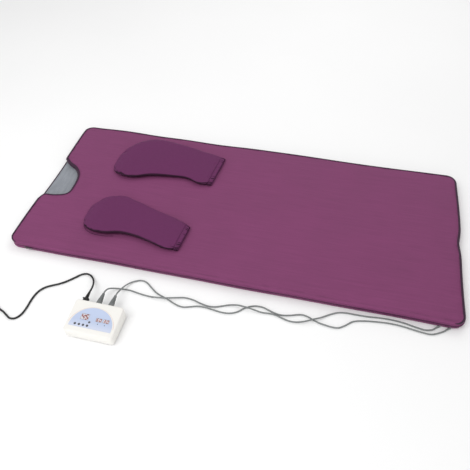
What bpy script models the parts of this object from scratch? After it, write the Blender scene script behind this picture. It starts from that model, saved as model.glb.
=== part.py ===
"""An infrared sauna blanket with two arm sleeves, and the controller that feeds its two heaters.

The blanket lies flat: +X runs from the head to the foot, -Y is the zipped side with the controller, +Z is up.
The origin is the centre of the blanket's underside. Every length is in metres.
"""

import math

import bmesh
import bpy
from mathutils import Matrix, Vector

# ---- Clearances -------------------------------------------------------------------------------------------
GAP = 0.0003  # between two solids that touch or rest on each other
RUNNING_GAP = 0.0003  # round a piece that slides or turns

# ---- Blanket: overall outline and layers --------------------------------------------------------------------
MAT_LENGTH = 1.788  # of the fabric shells, without the edge trims
MAT_WIDTH = 0.788
CORNER_RADIUS = 0.042
FABRIC = 0.0015  # shell fabric with its backing
SHELL_HEIGHT = 0.0165  # each of the two halves
LAYER_GAP = 0.0015  # between the closed halves
LINING = 0.0020
HEATER_FILM = 0.0015
TOP_ROUND = 0.006  # rounding of the cover's upper edge
BOTTOM_ROUND = 0.003

HALF_LENGTH = MAT_LENGTH / 2
HALF_WIDTH = MAT_WIDTH / 2
COVER_BOTTOM = SHELL_HEIGHT + LAYER_GAP
COVER_TOP = COVER_BOTTOM + SHELL_HEIGHT
SEAM_HEIGHT = SHELL_HEIGHT + LAYER_GAP / 2  # the level where the halves meet

# Neck opening at the head edge of the cover: (depth from the head edge, y)
NECK_ROUTE = [(0.0, 0.136), (0.032, 0.106), (0.080, 0.077), (0.110, 0.034), (0.119, -0.030), (0.112, -0.080),
              (0.064, -0.100), (0.016, -0.106), (0.0, -0.140)]

# Heater: a flat carbon ribbon that runs across the blanket, back and forth
RIBBON_WIDTH = 0.022
RIBBON_PITCH = 0.0975
RIBBON_END_MARGIN = 0.045  # from the shell's side walls
BASE_RIBBON_START = 0.225  # from the head edge
COVER_RIBBON_MARGIN = 0.094  # from the arm holes' foot side
RIBBON_FOOT_MARGIN = 0.075
SENSOR_RADIUS = 0.006
SENSOR_THICKNESS = 0.0014
CUTOUT_SIZE = (0.018, 0.009, 0.0014)

# ---- Edge trims ---------------------------------------------------------------------------------------------
BINDING_RADIUS = 0.0020
FOLD_ROLL_RADIUS = 0.0022
ZIP_TAPE = 0.0006
ZIP_TAPE_HEIGHT = 0.0065
ZIP_COIL_RADIUS = 0.0010
ZIP_END = 0.030  # from the corner where each end of the zip stops
SLIDER_LENGTH = 0.012
SLIDER_PLATE = 0.0012
SLIDER_PLATE_HEIGHT = 0.0090
SLIDER_WEB = 0.0009
SLIDER_LUG = 0.0012
PULL_LENGTH = 0.026
PULL_PLATE = 0.0010
PULL_HEIGHT = 0.0070
PULL_PIN_RADIUS = 0.0008
PULL_EYE_RADIUS = 0.0018

# ---- Arm sleeves: (x, y of the near side, y of the far side, height) from shoulder to cuff -------------------
SLEEVES = {
    "far": [(-0.640, 0.125, 0.200, 0.010), (-0.622, 0.088, 0.252, 0.017), (-0.580, 0.062, 0.304, 0.024),
            (-0.520, 0.060, 0.337, 0.026), (-0.450, 0.084, 0.341, 0.026), (-0.360, 0.099, 0.325, 0.024),
            (-0.280, 0.104, 0.307, 0.022), (-0.210, 0.083, 0.291, 0.021), (-0.153, 0.090, 0.275, 0.019)],
    "near": [(-0.634, -0.215, -0.145, 0.010), (-0.614, -0.258, -0.112, 0.017), (-0.575, -0.281, -0.080, 0.024),
             (-0.515, -0.284, -0.062, 0.026), (-0.450, -0.271, -0.078, 0.026), (-0.375, -0.275, -0.103, 0.024),
             (-0.305, -0.290, -0.124, 0.022), (-0.240, -0.306, -0.145, 0.021), (-0.186, -0.300, -0.171, 0.019)],
}
SLEEVE_WALL = 0.003
SLEEVE_JOINT_X = -0.470  # where the lifting part of the sleeve begins
CUFF_LENGTH = 0.018
SLEEVE_SEAM = 0.0006  # between the lengths of a sleeve
CUFF_LEAN = 0.10  # how far the cuff's edge slants back towards the near side
SLEEVE_SIDES = 18
SLEEVE_SQUARENESS = 0.72  # 1 is an ellipse, less is squarer
ARM_HOLE_X = -0.555
ARM_HOLE_Y = {"far": 0.200, "near": -0.172}
ARM_HOLE_RADII = (0.052, 0.066)

# ---- Controller ---------------------------------------------------------------------------------------------
CASE_CENTRE = (-0.387, -0.6655)
CASE_WIDTH = 0.187
CASE_DEPTH = 0.127
CASE_FRONT_HEIGHT = 0.045
CASE_REAR_HEIGHT = 0.055
CASE_CORNER = 0.010
CASE_WALL = 0.0022
CASE_SPLIT = 0.020
CASE_TOP_ROUND = 0.004
FOOT_HEIGHT = 0.003
FOOT_WIDTH = 0.010
FOOT_INSET = 0.016
BOARD = 0.0016
STANDOFF_HEIGHT = 0.005
STANDOFF_RADIUS = 0.003
BOARD_INSET = 0.012
DISPLAY_BOARD_DEPTH = 0.0100  # below the case's top
OVERLAY = 0.0005
OVERLAY_HALF_WIDTH = 0.080
OVERLAY_DEPTH = 0.081
OVERLAY_FRONT = 0.022  # from the case's front edge to the panel's straight side
BUTTON_RADIUS = 0.0036
BUTTON_RISE = 0.0014
BUTTON_FLANGE = 0.0010
BUTTON_TRAVEL = 0.0008
BUTTON_ROW_X = -0.0575  # first button, from the case's centre
BUTTON_PITCH = 0.0155
BUTTON_ROW_Y = 0.0095  # from the panel's straight side
POWER_AT = (-0.0085, 0.0235)
POWER_RADIUS = 0.0032
LED_RADIUS = 0.0014
LEDS = {"indicator_led_left": (0.023, 0.0225), "indicator_led_right": (0.0495, 0.0225)}
# name: (x from the case's centre, y from the panel's straight side, width, depth)
DISPLAYS = {"display_main": (-0.032, 0.041, 0.030, 0.023), "display_left": (0.0225, 0.038, 0.023, 0.014),
            "display_right": (0.0500, 0.038, 0.023, 0.014)}

SOCKET_HEIGHT = 0.034
MAINS_X = -0.4565
HEATER_PORTS = {"left": -0.4020, "right": -0.3545}
INLET_FLANGE = (0.030, 0.0016, 0.020)
INLET_BODY = (0.0236, 0.014, 0.0150)
INLET_POCKET = (0.0190, 0.0080, 0.0100)
CONNECTOR_NOSE_DEPTH = 0.006
CONNECTOR_BODY = (0.0205, 0.0170, 0.0125)
SOCKET_RADIUS = 0.0090
SOCKET_FLANGE_RADIUS = 0.0110
SOCKET_DEPTH = 0.010
SOCKET_POCKET_RADIUS = 0.0070

# ---- Cords --------------------------------------------------------------------------------------------------
HEATER_CABLE_RADIUS = 0.00275
MAINS_RADIUS = 0.0035
STRAIN_RELIEF = 0.030
STRAIGHT_END = 0.003  # of a cord, where it meets its plug or gland
HEATER_PLUG_LENGTH = 0.0505
GLAND_X = {"left": 0.812, "right": 0.848}
GLAND_YAW = math.radians(40)
GLAND_HEIGHT = 0.0042
GLAND_OUT = 0.016
GLAND_IN = 0.0050

# Routes on the floor, chosen by hand: each height is the cord's own radius where none is given.
HEATER_ROUTES = {
    "left": [(-0.402, -0.538, 0.0335), (-0.3995, -0.520, 0.0240), (-0.390, -0.507, 0.0125),
             (-0.372, -0.499, 0.0055), (-0.349, -0.4955, 0.0030), (-0.323, -0.495), (-0.298, -0.499),
             (-0.268, -0.503), (-0.236, -0.505, 0.0035), (-0.206, -0.504, 0.0068), (-0.175, -0.5005, 0.0095),
             (-0.143, -0.490, 0.0062), (-0.111, -0.481, 0.0032), (-0.079, -0.483), (-0.053, -0.490),
             (-0.031, -0.495), (-0.010, -0.497), (0.012, -0.494), (0.033, -0.486), (0.058, -0.476, 0.0034),
             (0.088, -0.471, 0.0064), (0.121, -0.474, 0.0095), (0.154, -0.477, 0.0062), (0.183, -0.480, 0.0032),
             (0.214, -0.478), (0.236, -0.480), (0.260, -0.487), (0.284, -0.493), (0.308, -0.493, 0.0030),
             (0.330, -0.488, 0.0046), (0.352, -0.480, 0.0076), (0.372, -0.470, 0.0096), (0.392, -0.459, 0.0076),
             (0.411, -0.445, 0.0046), (0.431, -0.431, 0.0030), (0.455, -0.419), (0.484, -0.4140),
             (0.518, -0.4135), (0.557, -0.4125), (0.597, -0.4085), (0.637, -0.4065), (0.674, -0.4085),
             (0.705, -0.4135), (0.735, -0.4195), (0.762, -0.4225, 0.0030)],
    "right": [(-0.3545, -0.538, 0.0335), (-0.3525, -0.518, 0.0265), (-0.3495, -0.498, 0.0185),
              (-0.343, -0.477, 0.0105), (-0.329, -0.457, 0.0048), (-0.305, -0.443), (-0.284, -0.443),
              (-0.266, -0.452), (-0.249, -0.465), (-0.219, -0.485), (-0.175, -0.5005), (-0.146, -0.513),
              (-0.121, -0.5205), (-0.101, -0.521), (-0.078, -0.514), (-0.052, -0.506), (-0.024, -0.505),
              (0.004, -0.508), (0.039, -0.512), (0.071, -0.509), (0.097, -0.496), (0.121, -0.474),
              (0.150, -0.459), (0.181, -0.457), (0.208, -0.465), (0.231, -0.472), (0.256, -0.475),
              (0.287, -0.469), (0.310, -0.461), (0.331, -0.457), (0.352, -0.461), (0.372, -0.470),
              (0.392, -0.477), (0.414, -0.481), (0.438, -0.484), (0.462, -0.482), (0.485, -0.467),
              (0.512, -0.444), (0.551, -0.433), (0.592, -0.427), (0.638, -0.4235), (0.678, -0.425),
              (0.715, -0.430), (0.752, -0.435), (0.785, -0.4350, 0.0030)],
}
MAINS_ROUTE = [(-0.4575, -0.536, 0.0310), (-0.463, -0.517, 0.0225), (-0.4725, -0.495, 0.0135),
               (-0.487, -0.475, 0.0075), (-0.504, -0.4625, 0.0045), (-0.522, -0.4595), (-0.541, -0.469),
               (-0.560, -0.489), (-0.580, -0.509), (-0.602, -0.526), (-0.625, -0.539), (-0.646, -0.552),
               (-0.662, -0.570), (-0.671, -0.594), (-0.674, -0.624), (-0.674, -0.655), (-0.678, -0.683),
               (-0.691, -0.704), (-0.712, -0.7095), (-0.732, -0.700), (-0.752, -0.689), (-0.773, -0.681)]
COIL_CENTRE = (-0.8360, -0.6990)
COIL_RADIUS = 0.0385  # at the middle of the turns
COIL_ACROSS = 2  # turns side by side
COIL_LAYERS = 2
COIL_ENTRY = math.radians(71)  # where on the ring the cord runs in
TIE_WIDTH = 0.012
TIE = 0.0010
TAIL = 0.046  # from the ring's side to the plug's strain relief
PLUG_BODY = (0.024, 0.026, 0.014)
PLUG_PIN = (0.0015, 0.016, 0.0064)
PLUG_PIN_SPACING = 0.0127

# ---- Colours: (red, green, blue, roughness, metallic) --------------------------------------------------------
FINISHES = {
    "plum_fabric": (0.225, 0.066, 0.155, 0.75, 0.0),
    "dark_plum_fabric": (0.148, 0.040, 0.115, 0.60, 0.0),
    "grey_lining": (0.235, 0.251, 0.279, 0.80, 0.0),
    "edge_trim": (0.075, 0.028, 0.070, 0.70, 0.0),
    "insulation_felt": (0.62, 0.61, 0.56, 0.95, 0.0),
    "carbon_ribbon": (0.03, 0.03, 0.032, 0.60, 0.1),
    "zip_coil": (0.055, 0.020, 0.052, 0.45, 0.0),
    "zip_metal": (0.18, 0.17, 0.17, 0.35, 1.0),
    "cable_grey": (0.21, 0.22, 0.22, 0.50, 0.0),
    "cord_black": (0.012, 0.012, 0.013, 0.45, 0.0),
    "case_white": (0.83, 0.82, 0.79, 0.38, 0.0),
    "panel_blue": (0.52, 0.58, 0.74, 0.35, 0.0),
    "display_orange": (0.75, 0.24, 0.06, 0.30, 0.0),
    "button_dark": (0.05, 0.055, 0.06, 0.50, 0.0),
    "led_dark": (0.03, 0.10, 0.06, 0.25, 0.0),
    "board_green": (0.02, 0.16, 0.07, 0.55, 0.0),
    "core_steel": (0.35, 0.34, 0.33, 0.45, 0.9),
    "sink_aluminium": (0.72, 0.73, 0.74, 0.40, 1.0),
    "sensor_ceramic": (0.70, 0.68, 0.62, 0.60, 0.0),
    "rubber_foot": (0.07, 0.07, 0.07, 0.85, 0.0),
    "pin_brass": (0.70, 0.55, 0.28, 0.30, 1.0),
}


# ---- Scene and material helpers -------------------------------------------------------------------------------
def clear_scene():
    for old in list(bpy.data.objects):
        bpy.data.objects.remove(old, do_unlink=True)


def collection(name):
    made = bpy.data.collections.new(name)
    bpy.context.scene.collection.children.link(made)
    return made


def finish(name):
    """The material of this name, made on its first use."""
    if name in bpy.data.materials:
        return bpy.data.materials[name]
    red, green, blue, roughness, metallic = FINISHES[name]
    made = bpy.data.materials.new(name)
    made.use_nodes = True
    shader = made.node_tree.nodes["Principled BSDF"]
    shader.inputs["Base Color"].default_value = (red, green, blue, 1.0)
    shader.inputs["Roughness"].default_value = roughness
    shader.inputs["Metallic"].default_value = metallic
    made.diffuse_color = (red, green, blue, 1.0)
    return made


def own_material(name, look):
    """A copy of the finish for one part, so that each part's can be changed by itself."""
    made = finish(look).copy()
    made.name = name + "_" + look
    return made


def add_part(name, data, look):
    """Puts mesh or curve data into the blanket's collection as the part of this name."""
    part = bpy.data.objects.new(name, data)
    part.data.materials.clear()
    part.data.materials.append(own_material(name, look))
    bpy.data.collections["sauna_blanket"].objects.link(part)
    return part


def add_cutter(name, data):
    cutter = bpy.data.objects.new(name, data)
    cutter.hide_render = True
    cutter.display_type = "WIRE"
    bpy.data.collections["cutters"].objects.link(cutter)
    return cutter


def add_frame(name, location, rotation=(0.0, 0.0, 0.0)):
    frame = bpy.data.objects.new(name, None)
    frame.location = location
    frame.rotation_euler = rotation
    bpy.data.collections["sauna_blanket"].objects.link(frame)
    return frame


def boolean(part, cutter, operation="DIFFERENCE"):
    step = part.modifiers.new(operation.lower() + "_" + cutter.name, "BOOLEAN")
    step.operation = operation
    step.solver = "EXACT"
    step.object = cutter


def smooth(mesh, angle=35.0):
    mesh.shade_smooth()
    mesh.set_sharp_from_angle(angle=math.radians(angle))


# ---- Shape helpers ----------------------------------------------------------------------------------------------
def box_mesh(name, size, centre=(0.0, 0.0, 0.0), bevel=0.0, segments=2):
    made = bmesh.new()
    bmesh.ops.create_cube(made, size=1.0, matrix=Matrix.Translation(centre) @ Matrix.Diagonal((*size, 1.0)))
    if bevel > 0.0:
        bmesh.ops.bevel(made, geom=made.edges[:], offset=bevel, segments=segments, affect="EDGES", profile=0.5)
    mesh = bpy.data.meshes.new(name)
    made.to_mesh(mesh)
    made.free()
    smooth(mesh)
    return mesh


def cylinder_mesh(name, radii, length, centre=(0.0, 0.0, 0.0), along="Z", sides=24):
    """A closed cylinder, elliptical where the two radii differ."""
    turns = {"X": Matrix.Rotation(math.pi / 2, 4, "Y"), "Y": Matrix.Rotation(-math.pi / 2, 4, "X"), "Z": Matrix()}
    placed = Matrix.Translation(centre) @ turns[along] @ Matrix.Diagonal((radii[0], radii[1], 1.0, 1.0))
    made = bmesh.new()
    bmesh.ops.create_cone(made, cap_ends=True, segments=sides, radius1=1.0, radius2=1.0, depth=length, matrix=placed)
    mesh = bpy.data.meshes.new(name)
    made.to_mesh(mesh)
    made.free()
    smooth(mesh)
    return mesh


def mesh_of(source):
    """The mesh of a curve, or of an object with its modifiers, with its caps welded. The source is removed."""
    graph = bpy.context.evaluated_depsgraph_get()
    graph.update()
    mesh = bpy.data.meshes.new_from_object(source.evaluated_get(graph))
    made = bmesh.new()
    made.from_mesh(mesh)
    bmesh.ops.remove_doubles(made, verts=made.verts[:], dist=1e-6)
    made.to_mesh(mesh)
    made.free()
    name = source.name
    bpy.data.objects.remove(source, do_unlink=True)
    mesh.name = name
    return mesh


def plate_mesh(name, loops, low, high):
    """A flat plate between two heights: the first loop is its outline, and the rest are holes in it."""
    curve = bpy.data.curves.new(name, "CURVE")
    curve.dimensions = "2D"
    curve.fill_mode = "BOTH"
    curve.extrude = (high - low) / 2
    for loop in loops:
        spline = curve.splines.new("POLY")
        spline.points.add(len(loop) - 1)
        for point, (x, y) in zip(spline.points, loop):
            point.co = (x, y, 0.0, 1.0)
        spline.use_cyclic_u = True
    source = bpy.data.objects.new(name, curve)
    bpy.context.scene.collection.objects.link(source)
    mesh = mesh_of(source)
    mesh.transform(Matrix.Translation((0.0, 0.0, (low + high) / 2)))
    return mesh


def tube_curve(name, route, radius, resolution=2, closed=False):
    """A tube along a route, with filled caps."""
    curve = bpy.data.curves.new(name, "CURVE")
    curve.dimensions = "3D"
    curve.bevel_depth = radius
    curve.bevel_resolution = resolution
    curve.use_fill_caps = not closed
    spline = curve.splines.new("POLY")
    spline.points.add(len(route) - 1)
    for point, place in zip(spline.points, route):
        point.co = (*place, 1.0)
    spline.use_cyclic_u = closed
    return curve


def turned_mesh(name, profile, steps=24):
    """A solid of revolution about Z, from (radius, height) points that run down its outer side, top to bottom."""
    mesh = bpy.data.meshes.new(name)
    points = [(radius, 0.0, height) for radius, height in profile]
    mesh.from_pydata(points, [(i, i + 1) for i in range(len(points) - 1)], [])
    source = bpy.data.objects.new(name, mesh)
    bpy.context.scene.collection.objects.link(source)
    screw = source.modifiers.new("turn", "SCREW")
    screw.steps = steps
    screw.render_steps = steps
    screw.use_merge_vertices = True
    screw.merge_threshold = 0.00001
    made = mesh_of(source)
    smooth(made)
    return made


def offset_loop(loop, inset):
    """A closed loop, run anticlockwise, moved in by this much, or out where it is negative."""
    moved = []
    for index, here in enumerate(loop):
        before = Vector(loop[index - 1])
        after = Vector(loop[(index + 1) % len(loop)])
        here = Vector(here)
        into = (here - before).normalized()
        out = (after - here).normalized()
        normal_in = Vector((-into.y, into.x))
        normal_out = Vector((-out.y, out.x))
        middle = (normal_in + normal_out).normalized()
        moved.append(tuple(here + middle * (inset / max(0.5, middle.dot(normal_in)))))
    return moved


def offset_path(path, outward):
    """An open flat path moved to its right-hand side."""
    moved = []
    for index, here in enumerate(path):
        before = Vector(path[max(index - 1, 0)])
        after = Vector(path[min(index + 1, len(path) - 1)])
        along = (after - before).normalized()
        moved.append((here[0] + along.y * outward, here[1] - along.x * outward))
    return moved


def smooth_curve(points, parts, closed=False):
    """Points along a Catmull-Rom curve through the given ones, with this many parts to each span."""
    points = [Vector(point) for point in points]
    count = len(points)
    spans = count if closed else count - 1
    found = []
    for span in range(spans):
        if closed:
            a, b, c, d = (points[(span + shift) % count] for shift in (-1, 0, 1, 2))
        else:
            b, c = points[span], points[span + 1]
            a = points[span - 1] if span > 0 else b * 2 - c
            d = points[span + 2] if span + 2 < count else c * 2 - b
        for part in range(parts):
            t = part / parts
            found.append(0.5 * ((2 * b) + (c - a) * t + (2 * a - 5 * b + 4 * c - d) * t**2
                                + (3 * b - a - 3 * c + d) * t**3))
    if not closed:
        found.append(points[-1])
    return found


def evenly_spaced(points, spacing):
    """The same route with its points this far apart, or a little less so that they come out even."""
    lengths = [0.0]
    for before, after in zip(points, points[1:]):
        lengths.append(lengths[-1] + (after - before).length)
    count = math.ceil(lengths[-1] / spacing)
    found = []
    index = 0
    for step in range(count + 1):
        wanted = lengths[-1] * step / count
        while index < len(points) - 2 and lengths[index + 1] < wanted:
            index += 1
        share = (wanted - lengths[index]) / (lengths[index + 1] - lengths[index])
        found.append(points[index].lerp(points[index + 1], min(1.0, share)))
    return found


def ellipse(centre, radii, sides=22):
    turns = (2 * math.pi * step / sides for step in range(sides))
    return [(centre[0] + radii[0] * math.cos(turn), centre[1] + radii[1] * math.sin(turn)) for turn in turns]


def arc(centre, radius, start, end, parts):
    turns = (start + (end - start) * step / parts for step in range(parts + 1))
    return [(centre[0] + radius * math.cos(turn), centre[1] + radius * math.sin(turn)) for turn in turns]


def rounded_rectangle(half_x, half_y, radius, parts=5):
    loop = []
    for quarter, (side_x, side_y) in enumerate(((1, 1), (-1, 1), (-1, -1), (1, -1))):
        centre = (side_x * (half_x - radius), side_y * (half_y - radius))
        loop += arc(centre, radius, quarter * math.pi / 2, (quarter + 1) * math.pi / 2, parts)
    return loop


def tray_mesh(name, loops, open_at, closed_at, wall, rounding):
    """A shell of one outline, with holes if given: closed and rounded on one side, open on the other."""
    mesh = plate_mesh(name, loops, min(open_at, closed_at), max(open_at, closed_at))
    made = bmesh.new()
    made.from_mesh(mesh)
    bmesh.ops.dissolve_limit(made, angle_limit=0.001, verts=made.verts[:], edges=made.edges[:])
    bmesh.ops.recalc_face_normals(made, faces=made.faces[:])
    outline = {(round(x, 6), round(y, 6)) for x, y in loops[0]}
    rim = [edge for edge in made.edges if all(abs(v.co.z - closed_at) < 1e-6 for v in edge.verts)
           and all((round(v.co.x, 6), round(v.co.y, 6)) in outline for v in edge.verts)
           and any(abs(face.normal.z) < 0.5 for face in edge.link_faces)]
    bmesh.ops.bevel(made, geom=rim, offset=rounding, segments=2, affect="EDGES", profile=0.5)
    opened = [face for face in made.faces if all(abs(v.co.z - open_at) < 1e-6 for v in face.verts)]
    bmesh.ops.delete(made, geom=opened, context="FACES")
    bmesh.ops.triangulate(made, faces=[face for face in made.faces if len(face.verts) > 4])
    made.to_mesh(mesh)
    made.free()
    source = bpy.data.objects.new(name, mesh)
    bpy.context.scene.collection.objects.link(source)
    thicken = source.modifiers.new("wall", "SOLIDIFY")
    thicken.thickness = wall
    thicken.offset = -1.0
    thicken.use_even_offset = True
    thicken.use_rim = True
    made_mesh = mesh_of(source)
    smooth(made_mesh)
    return made_mesh


# ---- Blanket ------------------------------------------------------------------------------------------------
def mat_outline(inset=0.0):
    return rounded_rectangle(HALF_LENGTH - inset, HALF_WIDTH - inset, CORNER_RADIUS - inset)


def cover_outline(inset=0.0):
    """The cover's outline: as the base's, with the neck opening in its head edge."""
    neck = [(-HALF_LENGTH + depth, y) for depth, y in NECK_ROUTE]
    opening = [tuple(point) for point in smooth_curve(neck, 3)]
    whole = rounded_rectangle(HALF_LENGTH, HALF_WIDTH, CORNER_RADIUS)
    per_corner = len(whole) // 4
    loop = whole[:2 * per_corner] + opening + whole[2 * per_corner:]
    return offset_loop(loop, inset)


def arm_hole(side, wider=0.0):
    radii = (ARM_HOLE_RADII[0] + wider, ARM_HOLE_RADII[1] + wider)
    return ellipse((ARM_HOLE_X, ARM_HOLE_Y[side]), radii)


def cover_loops(inset):
    return [cover_outline(inset)] + [arm_hole(side, inset) for side in ARM_HOLE_Y]


def ribbon_outline(start, end, half_y):
    """A flat ribbon that runs across the blanket and back, from one x to the other."""
    runs = int((end - start) / RIBBON_PITCH) + 1
    middle = []
    for run in range(runs):
        side = -1 if run % 2 == 0 else 1
        x = start + run * RIBBON_PITCH
        middle += [Vector((x, side * half_y)), Vector((x, -side * half_y))]
    half = RIBBON_WIDTH / 2
    right, left = [], []
    for index, here in enumerate(middle):
        into = (here - middle[index - 1]).normalized() if index > 0 else (middle[1] - here).normalized()
        out = (middle[index + 1] - here).normalized() if index < len(middle) - 1 else into
        corner = Vector((into.y, -into.x)) + (Vector((out.y, -out.x)) if out != into else Vector((0, 0)))
        right.append(tuple(here + corner * half))
        left.append(tuple(here - corner * half))
    return right + left[::-1]


def build_base():
    low = FABRIC + GAP
    lining_low = SHELL_HEIGHT - LINING
    heater_low = lining_low - GAP - HEATER_FILM
    shell = add_part("base_outer_shell", tray_mesh("base_outer_shell", [mat_outline()], SHELL_HEIGHT, 0.0, FABRIC,
                                                   BOTTOM_ROUND), "plum_fabric")
    for side in GLAND_X:
        boolean(shell, gland_cutter(side))
    felt = plate_mesh("base_insulation", [mat_outline(TOP_ROUND + GAP)], low, heater_low - GAP)
    add_part("base_insulation", felt, "insulation_felt")
    half_y = HALF_WIDTH - RIBBON_END_MARGIN
    ribbon = ribbon_outline(-HALF_LENGTH + BASE_RIBBON_START, HALF_LENGTH - RIBBON_FOOT_MARGIN, half_y)
    add_part("base_heater_element", plate_mesh("base_heater_element", [ribbon], heater_low,
                                               heater_low + HEATER_FILM), "carbon_ribbon")
    add_part("base_lining", plate_mesh("base_lining", [mat_outline(FABRIC + GAP)], lining_low, SHELL_HEIGHT),
             "grey_lining")
    sensor_x = -HALF_LENGTH + BASE_RIBBON_START + RIBBON_PITCH * 4.5
    add_sensor("base_temperature_sensor", (sensor_x, 0.0), heater_low)
    cutout = box_mesh("base_thermal_cutout", CUTOUT_SIZE, bevel=0.0003, segments=1)
    made = add_part("base_thermal_cutout", cutout, "sensor_ceramic")
    made.location = (sensor_x + RIBBON_PITCH * 2, 0.0, heater_low + CUTOUT_SIZE[2] / 2)


def build_cover():
    lining_high = COVER_BOTTOM + LINING
    heater_low = lining_high + GAP
    felt_low = heater_low + HEATER_FILM + GAP
    add_part("cover_outer_shell", tray_mesh("cover_outer_shell", cover_loops(0.0), COVER_BOTTOM, COVER_TOP, FABRIC,
                                            TOP_ROUND), "plum_fabric")
    felt = plate_mesh("cover_insulation", cover_loops(TOP_ROUND + GAP), felt_low, COVER_TOP - FABRIC - GAP)
    add_part("cover_insulation", felt, "insulation_felt")
    half_y = HALF_WIDTH - RIBBON_END_MARGIN
    ribbon_start = ARM_HOLE_X + ARM_HOLE_RADII[0] + COVER_RIBBON_MARGIN
    ribbon = ribbon_outline(ribbon_start, HALF_LENGTH - RIBBON_FOOT_MARGIN, half_y)
    add_part("cover_heater_element", plate_mesh("cover_heater_element", [ribbon], heater_low,
                                                heater_low + HEATER_FILM), "carbon_ribbon")
    add_part("cover_lining", plate_mesh("cover_lining", cover_loops(FABRIC + GAP), COVER_BOTTOM, lining_high),
             "grey_lining")
    sensor_x = ribbon_start + RIBBON_PITCH * 3.5
    add_sensor("cover_temperature_sensor", (sensor_x, 0.0), heater_low)


def add_sensor(name, place, low):
    disc = cylinder_mesh(name, (SENSOR_RADIUS, SENSOR_RADIUS), SENSOR_THICKNESS, sides=16)
    made = add_part(name, disc, "sensor_ceramic")
    made.location = (*place, low + SENSOR_THICKNESS / 2)


def build_bindings():
    """The trims round the head edges of both halves."""
    outside = -(GAP + BINDING_RADIUS)
    end_margin = CORNER_RADIUS + GAP
    base_x = -HALF_LENGTH + outside
    base_z = SHELL_HEIGHT / 2
    half = HALF_WIDTH - end_margin
    base_route = [(base_x, half - step * half / 4, base_z) for step in range(9)]
    add_part("base_head_binding", tube_curve("base_head_binding", base_route, BINDING_RADIUS), "edge_trim")
    outline = cover_outline(outside)
    head = [(x, y) for x, y in outline if x < -HALF_LENGTH / 2 and abs(y) <= half + CORNER_RADIUS / 2]
    route = [(x, y, COVER_BOTTOM + SHELL_HEIGHT / 2) for x, y in head]
    add_part("cover_neck_binding", tube_curve("cover_neck_binding", route, BINDING_RADIUS), "edge_trim")


def build_fold():
    """The sewn roll along the far edge, on the axis that the cover folds about."""
    half = HALF_LENGTH - CORNER_RADIUS - GAP
    roll = cylinder_mesh("fold_seam_roll", (FOLD_ROLL_RADIUS, FOLD_ROLL_RADIUS), 2 * half, along="X", sides=14)
    made = add_part("fold_seam_roll", roll, "edge_trim")
    made.location = (0.0, HALF_WIDTH + GAP + FOLD_ROLL_RADIUS, SEAM_HEIGHT)


def zip_path(outward):
    """Along the near side, round the foot's near corner and along the foot."""
    start = -HALF_LENGTH + CORNER_RADIUS
    centre = (HALF_LENGTH - CORNER_RADIUS, -HALF_WIDTH + CORNER_RADIUS)
    path = [(start + ZIP_END, -HALF_WIDTH)]
    path += arc(centre, CORNER_RADIUS, -math.pi / 2, 0.0, 8)
    path.append((HALF_LENGTH, HALF_WIDTH - CORNER_RADIUS - ZIP_END))
    return offset_path(path, outward)


def zip_levels():
    """Heights of the lower coil's and the upper coil's centres, and of each tape's edge at the seam."""
    reach = SLIDER_WEB / 2 + RUNNING_GAP + ZIP_COIL_RADIUS
    tape_edge = SLIDER_WEB / 2 + 2 * RUNNING_GAP + ZIP_COIL_RADIUS * 0.9
    return SEAM_HEIGHT - reach, SEAM_HEIGHT + reach, tape_edge


def build_zip():
    low_coil, high_coil, tape_edge = zip_levels()
    coil_out = GAP + ZIP_TAPE + GAP + ZIP_COIL_RADIUS
    tapes = {"zip_tape_base": SEAM_HEIGHT - tape_edge - ZIP_TAPE_HEIGHT, "zip_tape_cover": SEAM_HEIGHT + tape_edge}
    for name, low in tapes.items():
        inner = zip_path(GAP)
        outer = zip_path(GAP + ZIP_TAPE)
        loop = inner + outer[::-1]
        add_part(name, plate_mesh(name, [loop[::-1]], low, low + ZIP_TAPE_HEIGHT), "edge_trim")
    for name, height in (("zip_coil_base", low_coil), ("zip_coil_cover", high_coil)):
        route = [(x, y, height) for x, y in zip_path(coil_out)]
        add_part(name, tube_curve(name, route, ZIP_COIL_RADIUS), "zip_coil")
    build_slider(coil_out, tape_edge)


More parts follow.
